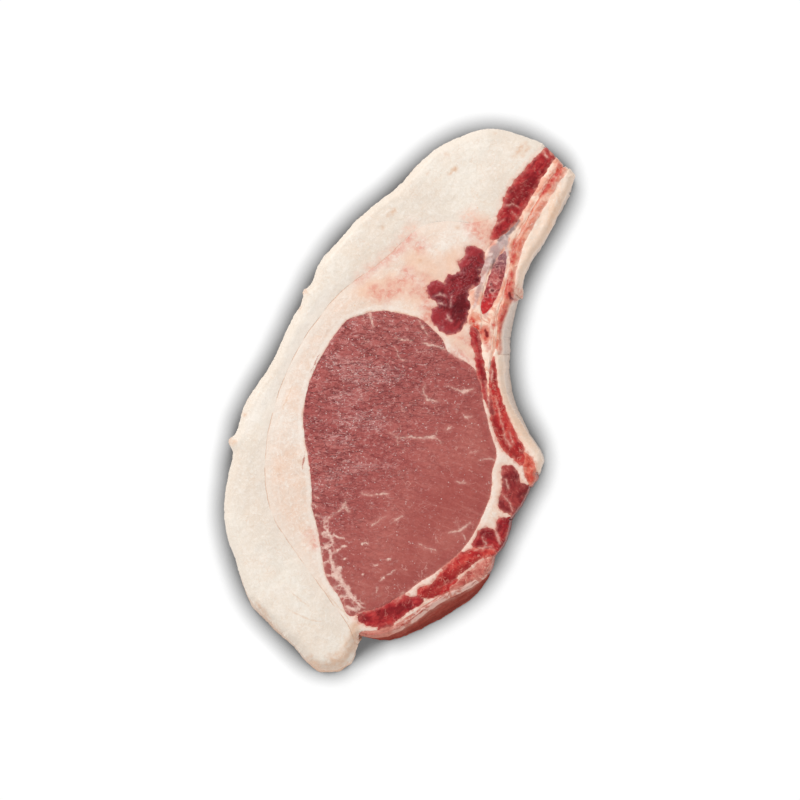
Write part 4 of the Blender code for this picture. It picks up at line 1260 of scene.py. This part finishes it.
def lean_finish(name, base, deep, light, pale, wall_colour, strand=0.5, gloss=0.05, specular=0.12,
                wall_share=0.5, fatty=0.0):
    """Lean of the small muscles: bundles of uneven red with pale strands and darker cores, a painted
    sheen, painted shade in a cleft between lobes, and painted shade toward the foot of a fatty wall.
    """
    f = Finish(name, coat=gloss, specular=specular)
    edge = f.mark("to_fat")
    border = f.mark("to_border")
    across = f.along("X")
    course = f.course(edge, f.along("Y") * 0.25, across * 0.25)
    bundle = f.noise(3.4, 2.0, 0.5, twist=0.6, seed=1)
    colour = f.blend(f.over(bundle, 0.44, 0.64) * 0.5, base, light)
    colour = f.blend(f.under(bundle, 0.34, 0.47) * 0.5, colour, deep)
    fibre = f.noise(1.1, 3.0, 0.6, twist=0.5, place=course, seed=12)
    colour = f.blend(f.over(fibre, 0.50, 0.70) * 0.5, colour, light)
    colour = f.blend(f.under(fibre, 0.34, 0.50) * 0.5, colour, deep)
    bright = f.under(f.wavy("warmth", 1.8, 1.0, 14), -0.6, 1.4)
    colour = f.blend(bright * 0.7, colour, light)
    # Darker cores, and a painted shade in the cleft between two lobes of the lobed muscle.
    dark_cores_and_cleft_shade = f.under(f.wavy("dark", 1.8, 1.2, 2), -0.5, 1.2)
    colour = f.blend(dark_cores_and_cleft_shade * 0.6, colour, deep)
    short = f.noise(1.5, 2.5, 0.6, twist=1.2, seed=3)
    colour = f.blend(f.under(short, 0.34, 0.48) * 0.25, colour, deep)
    colour = f.blend(f.over(short, 0.54, 0.70) * 0.2, colour, light)
    grit = f.noise(0.55, 2.0, 0.6, seed=4)
    colour = f.blend(f.over(grit, 0.62, 0.74) * 0.12, colour, pale)
    thread = f.noise(2.6, 2.0, 0.5, twist=1.6, seed=5)
    strands = f.line(thread, 0.045) * f.over(f.noise(2.6, seed=6), 0.46, 0.6)
    colour = f.blend(strands * (0.7 * strand), colour, pale)
    # Painted sheen: pale flecks over the sheen marks, which lie on the lobed muscle.
    sheen = f.under(f.wavy("pale", 1.2, 0.8, 7), -0.5, 1.2)
    colour = f.blend(sheen * f.over(grit, 0.50, 0.66) * 0.3, colour, pale)
    vein = f.wavy("vein", 0.8, 0.3, 8)
    colour = f.blend(f.under(vein, -0.1, 0.9) * 0.3, colour, pale)
    colour = f.blend(f.under(vein, -0.35, 0.2) * 0.6, colour, tint("e0b2a4"))
    wall = f.over(f.mark("depth"), 0.8, 2.5)
    ragged_edge = border + (f.noise(1.1, 2.5, 0.6, seed=9) - 0.5) * 1.5
    top = 1 - wall
    colour = f.blend(top * f.under(ragged_edge, 0.2, 1.4) * 0.25, colour, pale)
    colour = f.blend(top * f.under(ragged_edge, -0.2, 0.5) * 0.65, colour, tint("d98f7e"))
    layers = f.noise(2.4, 3.5, 0.6, twist=0.5, stretch=(0.4, 0.4, 1.5), seed=10)
    streaky = f.over(fibre + (f.noise(2.6, 2.0, seed=13) - 0.5) * 0.5, 0.40, 0.58)
    creamy = 0.1 + 0.9 * f.over(across + (bundle - 0.5) * 8.0, *CREAM_START)
    colour = f.blend(top * streaky * creamy * fatty, colour, tint("efd5c8"))
    colour = f.blend(wall * (wall_share + 0.4 * f.over(layers, 0.36, 0.66)), colour, wall_colour)
    brink = f.under(f.mark("depth"), 1.2, 8.0) * wall
    colour = f.blend(brink * f.over(layers, 0.36, 0.56) * creamy * (0.9 * fatty), colour,
                     tint("d3a08f"))
    # Painted shade: a fatty wall darkens toward its foot.
    low = f.over(f.mark("depth") + (bundle - 0.5) * 8.0, 12.0, 18.0)
    colour = f.blend(low * (0.8 * fatty), colour, tint("6e2a25"))
    return f.done(colour, short * 0.5 + fibre * 0.6 + grit * 0.1, 0.4,
                  0.3 + 0.2 * f.noise(1.7, 2.0, seed=11))


def fat_wall(f, lump, colour, wall_colour):
    """A colour that gives way to soft layers of the wall's colour down the side; the grey wall of the
    membrane fat and pink tissue is painted shade.
    """
    wall = f.over(f.mark("depth") + (lump - 0.5) * 5.0, 1.0, 8.0)
    layers = f.noise(3.2, 3.5, 0.6, twist=0.6, stretch=(0.3, 0.3, 1.4), seed=15)
    return f.blend(wall * (0.5 + 0.35 * f.over(layers, 0.34, 0.68)), colour, wall_colour)


def fat_finish(name, base, shade, warm, blush, wall_colour, streaks=0.5, warmth=0.5):
    """Raw fat: faintly lumpy and streaked, blushed pink near blood, with tan lines and spots, painted
    highlights along bright bands and painted shade along the outer edge.
    """
    f = Finish(name, 0.46, 0.08)
    white = tint("f3eae0")
    colour = f.blend(f.over(f.noise(24.0, 1.0, seed=1), 0.4, 0.62), base, shade)
    colour = f.blend(f.over(f.noise(9.0, 2.0, seed=2), 0.46, 0.64) * warmth, colour, warm)
    layer = f.mark("layer")
    along = f.along("Y")
    fibre = f.noise(1.2, 3.0, 0.6, twist=0.4, place=f.course(layer, along * 0.12), seed=3)
    fine = f.noise(0.9, 2.5, 0.6, twist=0.6, seed=4)
    lump = f.noise(2.8, 3.0, 0.6, twist=0.7, seed=5)
    colour = f.blend(f.over(lump, 0.5, 0.7) * 0.45, colour, white)
    colour = f.blend(f.under(lump, 0.34, 0.47) * 0.35, colour, shade)
    colour = f.blend(f.over(fibre, 0.52, 0.7) * streaks, colour, white)
    colour = f.blend(f.under(fibre, 0.34, 0.46) * (0.8 * streaks), colour, warm)
    colour = f.blend(f.under(fine, 0.36, 0.47) * 0.45, colour, shade)
    colour = f.blend(f.over(fine, 0.54, 0.66) * 0.45, colour, white)
    pitted = f.cells(1.6, "DISTANCE_TO_EDGE", place=f.shaken(2.4, 1.4, 31), seed=32)
    pits = f.under(pitted, 0.0, 0.08) * f.over(f.noise(5.0, 2.0, seed=33), 0.44, 0.62)
    colour = f.blend(pits * 0.3, colour, tint("e0b899"))
    cloud = f.noise(4.5, 3.0, 0.6, twist=1.0, seed=34)
    colour = f.blend(f.over(cloud, 0.5, 0.68) * 0.3, colour, warm)
    pale_vein = f.line(f.noise(3.0, 3.0, 0.6, twist=1.2, seed=35), 0.05)
    colour = f.blend(pale_vein * 0.2, colour, tint("fbf5ee"))
    # Painted highlight along the outer fat's bright bands.
    colour = f.blend(f.under(f.wavy("pale", 3.0, 0.8, 6), -0.5, 2.2) * 0.5, colour, white)
    seam = f.under(abs(layer) + (lump - 0.5) * 4.0, 0.0, 4.5)
    colour = f.blend(seam * 0.5, colour, tint("ebddd0"))
    flushed = f.under(f.wavy("warmth", 4.0, 1.5, 30), -1.5, 3.0)
    colour = f.blend(flushed * 0.55, colour, tint("ebbda1"))
    speck = f.under(f.cells(7.0, seed=7), 0.02, 0.05) * 0.6
    colour = f.blend(speck, colour, tint("e2b288"))
    eye = f.mark("to_eye")
    ring = f.over(eye, 0.2, 0.7) * f.under(eye, 1.4, 2.4)
    colour = f.blend(ring * 0.4, colour, white)
    mottle = f.noise(1.7, 4.0, 0.7, twist=0.6, seed=8)
    ragged = (f.noise(1.1, 2.5, 0.6, seed=10) - 0.5) * 1.6
    colour = f.blend(f.under(eye + ragged, -0.1, 0.7) * 0.35, colour, blush)
    small = f.mark("to_small") + ragged
    colour = f.blend(f.under(small, 0.2, 2.2) * 0.4, colour, tint("eabba7"))
    colour = f.blend(f.under(eye + small, 0.5, 5.5) * 0.45, colour, tint("ecc3b1"))
    colour = f.blend(f.under(small, -0.3, 0.6) * 0.6, colour, tint("d08472"))
    line = f.under(abs(layer), 0.03, 0.22) * f.over(f.noise(6.0, 1.0, seed=11), 0.34, 0.58)
    brown = line * f.under(f.along("X"), *FASCIA_BROWN)
    colour = f.blend(brown * 0.6, colour, tint("dba680"))
    colour = f.blend(f.under(f.mark("crease"), 0.0, 0.35) * 0.45, colour, tint("dcb697"))
    colour = f.blend(f.under(f.wavy("gash_and_shadow", 0.8, 0.08, 13), -0.05, 0.22) * 0.75, colour,
                     tint("b5614f"))
    # Painted shade along the outer edge, where the fat rounds away.
    painted_rim_shade = f.under(f.mark("inset") + (f.noise(4.0, 2.0, seed=14) - 0.5) * 2.0, 0.5, 3.4)
    colour = f.blend(painted_rim_shade * 0.5, colour, shade)
    colour = fat_wall(f, lump, colour, wall_colour)
    tan = f.under(f.wavy("tan", 1.4, 0.8, 12), -0.6, 1.2)
    at_tail = f.under(along, -TAIL_START - TAIL_RUN, -TAIL_START)
    deep = f.over(f.mark("depth"), 3.0, 7.0) * (1.25 * at_tail - 0.85)
    tan_share = (0.25 + 0.24 * f.over(mottle, 0.4, 0.6)) * (1 + deep)
    colour = f.blend(tan * tan_share, colour, tint("d59a6c"))
    stain = f.under(f.wavy("stain", 3.0, 1.8, 9), -1.5, 3.6)
    colour = f.blend(stain * (0.28 + 0.6 * f.over(mottle, 0.40, 0.66)), colour, blush)
    height = lump * 0.5 + fibre * (0.5 * streaks) + fine * 0.25 - line * 0.15
    return f.done(colour, height, 0.5, 0.40 + 0.14 * f.noise(2.6, 2.0, seed=16))


def rib_streaks(f, size, seed):
    """Streaks that run along the rib."""
    course = f.course(f.mark("rib_layer"), f.along("Y") * 0.16)
    return f.noise(size, 3.0, 0.6, twist=0.5, place=course, seed=seed)


def gristle_finish():
    """Pink-orange tissue along the rib: lumpy, streaked with red, paler beside the fat, grey with
    painted shade down the side, and torn dark red with a painted shadow beside the flap.
    """
    f = Finish("pink_tissue", 0.38, 0.12)
    colour = f.blend(f.over(f.noise(4.0, 2.0, seed=1), 0.4, 0.62), tint("de836b"), tint("ecb094"))
    streak = rib_streaks(f, 1.0, 2)
    lump = f.noise(1.6, 3.0, 0.6, twist=0.8, seed=7)
    colour = f.blend(f.over(streak, 0.5, 0.66) * 0.4, colour, tint("f8dfcd"))
    colour = f.blend(f.under(streak, 0.34, 0.49) * 0.65, colour, tint("d3604a"))
    colour = f.blend(f.over(lump, 0.54, 0.68) * 0.4, colour, tint("f9e4d6"))
    colour = f.blend(f.under(lump, 0.34, 0.45) * 0.4, colour, tint("d4735e"))
    mottle = f.noise(1.3, 3.0, 0.65, seed=3)
    stain = f.under(f.wavy("stain", 1.8, 1.0, 4), -0.9, 1.8)
    fall = f.under(f.mark("depth"), 3.0, 9.0)
    colour = f.blend(stain * fall * (0.5 + 0.5 * f.over(mottle, 0.4, 0.58)), colour,
                     tint("c63a35"))
    beside = f.under(f.mark("to_fat") + (mottle - 0.5) * 1.6, 0.0, 1.6)
    colour = f.blend(beside * 0.35, colour, tint("f2d3c0"))
    wall = f.over(f.mark("depth"), 0.4, 2.0)
    colour = f.blend(wall * 0.85, colour, tint("f2dccb"))
    # Painted shade: the side turns grey further down.
    colour = fat_wall(f, lump, colour, tint("cdbaad"))
    # Red tears; beside the flap the dark is a painted shadow.
    gash_and_shadow = f.wavy("gash_and_shadow", 0.8, 0.3, 5) + f.mark("depth") * 0.12
    colour = f.blend(f.under(gash_and_shadow, 0.0, 1.8) * 0.6, colour, tint("cf5546"))
    colour = f.blend(f.under(gash_and_shadow, -0.3, 0.4) * 0.95, colour, tint("7d1a1c"))
    return f.done(colour, streak * 0.6 + lump * 0.8 + mottle * 0.3, 0.7)


def bone_finish():
    """Sawn rib: grey-white hard walls, salmon surface, red streaks and a broken lower end."""
    f = Finish("bone", 0.36, 0.12)
    colour = f.blend(f.over(f.noise(4.4, 2.0, seed=1), 0.4, 0.62), tint("ebae95"), tint("f8d6c0"))
    streak = rib_streaks(f, 0.9, 2)
    colour = f.blend(f.under(streak, 0.36, 0.49) * 0.65, colour, tint("db7b5f"))
    colour = f.blend(f.over(streak, 0.52, 0.67) * 0.65, colour, tint("fae6d6"))
    mottle = f.noise(1.2, 3.0, 0.65, seed=3)
    colour = f.blend(f.over(mottle, 0.54, 0.7) * 0.35, colour, tint("f9e6d8"))
    beside = f.under(f.mark("to_fat") + (mottle - 0.5) * 1.6, 0.0, 1.2)
    colour = f.blend(beside * 0.5, colour, tint("f1dac8"))
    chalk = f.under(f.wavy("pale", 2.4, 0.8, 4), -0.6, 0.9)
    grey = f.blend(f.over(f.noise(2.6, 3.0, 0.6, twist=0.4, seed=5), 0.38, 0.62), tint("b08a86"),
                   tint("dfc6c0"))
    grey = f.blend(f.under(streak, 0.38, 0.5) * 0.5, grey, tint("d0978c"))
    high = f.over(f.along("Y"), *BLUE_BONE)
    grey = f.blend(high * f.under(streak, 0.46, 0.6) * 0.5, grey, tint("a3a2a6"))
    colour = f.blend(chalk * 0.85, colour, grey)
    stain = f.under(f.wavy("stain", 1.6, 0.9, 6), -0.8, 1.1)
    colour = f.blend(stain * (0.5 + 0.5 * f.over(mottle, 0.4, 0.58)), colour, tint("cf4434"))
    ink = f.under(f.wavy("dark", 0.9, 0.4, 7), -0.3, 0.7)
    colour = f.blend(ink * 0.75, colour, tint("6e5457"))
    gash_and_shadow = f.wavy("gash_and_shadow", 0.8, 0.3, 8)
    colour = f.blend(f.under(gash_and_shadow, 0.0, 1.8) * 0.6, colour, tint("cf5546"))
    colour = f.blend(f.under(gash_and_shadow, -0.4, 0.3) * 0.97, colour, tint("7d1418"))
    return f.done(colour, streak + mottle * 0.4, 0.6)


def marrow_finish():
    """Spongy marrow: grey-purple above, bright red below, with dark pores in pale rings."""
    f = Finish("marrow", 0.34, 0.14)
    along = f.along("Y")
    uneven = along + (f.noise(3.0, 2.0, seed=1) - 0.5) * 9.0
    low, high = (corner.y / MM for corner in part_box("rib_marrow"))
    colour = f.blend(f.over(uneven, low + 4.0, low + 11.0), tint("b81f26"), tint("b65552"))
    colour = f.blend(f.over(along, high - 9.0, high - 2.0) * 0.7, colour, tint("8b6f75"))
    sponge = f.noise(1.7, 3.0, 0.65, twist=0.8, seed=2)
    patch = f.noise(2.6, 3.0, 0.65, twist=0.8, seed=9)
    colour = f.blend(f.over(patch, 0.5, 0.64) * 0.6, colour, tint("d98f86"))
    colour = f.blend(f.under(patch, 0.36, 0.48) * 0.6, colour, tint("7e3a42"))
    colour = f.blend(f.over(sponge, 0.52, 0.66) * 0.55, colour, tint("e6ada3"))
    colour = f.blend(f.under(sponge, 0.34, 0.47) * 0.75, colour, tint("6f2228"))
    colour = f.blend(f.under(uneven, low + 3.0, low + 8.0) * 0.6, colour, tint("d02a2c"))
    pore = f.wavy("gash_and_shadow", 0.7, 0.35, 3)
    colour = f.blend(f.under(abs(pore - 0.25), 0.0, 0.4) * 0.35, colour, tint("d3a39c"))
    hole = f.under(pore, -0.3, 0.15)
    colour = f.blend(hole * 0.7, colour, tint("5e2429"))
    rim = f.under(f.mark("to_bone") + (sponge - 0.5) * 1.2, -0.6, 0.1)
    colour = f.blend((1 - rim) * 0.45, colour, tint("cf9a92"))
    return f.done(colour, sponge - hole * 0.6, 0.7)


def finishes():
    """Every finish by its slot in the record."""
    def lean(slot, *codes, **more):
        return lean_finish(slot, *[tint(code) for code in codes], **more)

    def fat(slot, *codes, **more):
        return fat_finish(slot, *[tint(code) for code in codes], **more)

    return {
        "back_fat": fat("back_fat", "ece2d5", "e4d6c7", "ebd8c6", "eebba6", "dfbca2",
                        streaks=0.2, warmth=0.35),
        "inner_fat": fat("inner_fat", "ebdccf", "e6cfbe", "ecc9b2", "dc8c7b", "d5ab92",
                         streaks=0.35),
        # Its grey wall colour is painted shade on the side.
        "membrane_fat": fat("membrane_fat", "f8e7d8", "ecc9ae", "f0c7a9", "d97d68", "cdbaad",
                            streaks=0.3),
        "loin_meat": loin_finish(),
        "dark_meat": lean("dark_meat", "7c1c22", "4f1119", "a5353a", "b87a7c", "6d2a26",
                          strand=0.3),
        "strip_meat": lean("strip_meat", "a2242a", "6c1219", "c4433f", "d08478", "7d382f"),
        "red_meat": lean("red_meat", "b62a2b", "85191d", "d6594c", "e09a88", "7d382f", strand=0.7),
        "orange_meat": lean("orange_meat", "cc4c3e", "a33226", "e4836a", "eebca4", "a4523f"),
        "chine_meat": lean("chine_meat", "86272a", "631a1e", "b34a45", "cc8378", "7d382f"),
        "pale_meat": lean("pale_meat", "bf6055", "97332f", "dc9282", "eec2ae", "a4523f",
                          strand=0.9),
        # The side meat's darker brown wall is partly its own colour and partly painted shade.
        "side_meat": lean("side_meat", "b5574b", "8c382f", "cb7566", "e3b3a2", "8a3a30",
                          gloss=0.0, specular=0.0, wall_share=0.5, fatty=0.6),
        "pink_tissue": gristle_finish(),
        "bone": bone_finish(),
        "marrow": marrow_finish(),
    }


# ---- The stage ----

VIEW_WIDTH = 0.268         # width of the view at the upper face, in metres
LENS = 200.0               # focal length of the camera, in millimetres
SENSOR = 36.0              # and the width of its sensor
CAMERA_PLACE = (-0.00025, 0.00115)   # where the camera looks straight down, in metres
FLOOR_REACH = 6.0          # how far the floor runs each way
FLOOR_GAP = 0.0001         # how far it lies below the slice
SHADOW_REACH = 0.012       # width of the soft dark band round the slice
DAYLIGHT = 0.42            # strength of the even light from all round
LIGHTS = (                 # name, place, size and power
    ("key", (-0.60, 0.60, 0.70), 0.40, 7.5),
    ("fill", (0.75, 0.35, 0.75), 0.6, 2.6),
    ("low", (-0.25, -0.85, 0.70), 0.6, 2.6),
)


def add_camera():
    """A camera straight above the slice."""
    data = bpy.data.cameras.new("camera")
    data.lens = LENS
    data.sensor_width = SENSOR
    camera = bpy.data.objects.new("camera", data)
    bpy.context.scene.collection.objects.link(camera)
    camera.location = (*CAMERA_PLACE, THICKNESS * MM + VIEW_WIDTH * LENS / SENSOR)
    bpy.context.scene.camera = camera


def add_light(name, place, size, energy):
    """A round soft light that faces the slice."""
    data = bpy.data.lights.new(name, "AREA")
    data.shape = "DISK"
    data.size = size
    data.energy = energy
    light = bpy.data.objects.new(name, data)
    bpy.context.scene.collection.objects.link(light)
    light.location = place
    toward = -light.location
    light.rotation_euler = toward.to_track_quat("-Z", "Y").to_euler()


def add_floor():
    """A pale floor that glows with its own light and has a painted shadow, darkening softly where the
    slice shuts it in.
    """
    mesh = bpy.data.meshes.new("floor")
    corners = [(x * FLOOR_REACH, y * FLOOR_REACH, 0)
               for x, y in ((-1, -1), (1, -1), (1, 1), (-1, 1))]
    mesh.from_pydata(corners, [], [(0, 1, 2, 3)])
    floor = bpy.data.objects.new("floor", mesh)
    bpy.context.scene.collection.objects.link(floor)
    floor.location.z = -FLOOR_GAP
    f = Finish("floor", 0.9, 0.0, 0.0)
    # The floor is lit by its own glow, dimmed by ambient occlusion to paint the soft shadow round the
    # slice.
    open_share = f.node("ShaderNodeAmbientOcclusion", {"samples": 24}, {"Distance": SHADOW_REACH},
                        "AO")
    glow = f.node("ShaderNodeMapRange", None,
                  {"Value": open_share, "From Min": 0.52, "From Max": 0.87, "To Min": 0.14,
                   "To Max": 0.98})
    f.tree.links.new(glow.socket, f.shader.inputs["Emission Color"])
    f.shader.inputs["Base Color"].default_value = (0.04, 0.04, 0.04, 1)
    f.shader.inputs["Emission Strength"].default_value = 1.0
    mesh.materials.append(f.material)


def add_stage():
    """Camera, floor and soft light from all round."""
    add_camera()
    add_floor()
    world = bpy.data.worlds.new("studio")
    world.use_nodes = True
    background = world.node_tree.nodes["Background"]
    background.inputs["Color"].default_value = (1, 1, 1, 1)
    background.inputs["Strength"].default_value = DAYLIGHT
    scene = bpy.context.scene
    scene.world = world
    scene.view_settings.view_transform = "Standard"
    for light in LIGHTS:
        add_light(*light)


def build():
    """Make every piece, then the stage."""
    slice_mesh = Slice()
    fields = slice_mesh.fields()
    made = finishes()
    slots = {part["node"]: part["material_slot"] for part in frame["record"]["subparts"]}
    for node in NODES:
        make_piece(slice_mesh, fields, node, made[slots[node]])
    add_stage()


build()
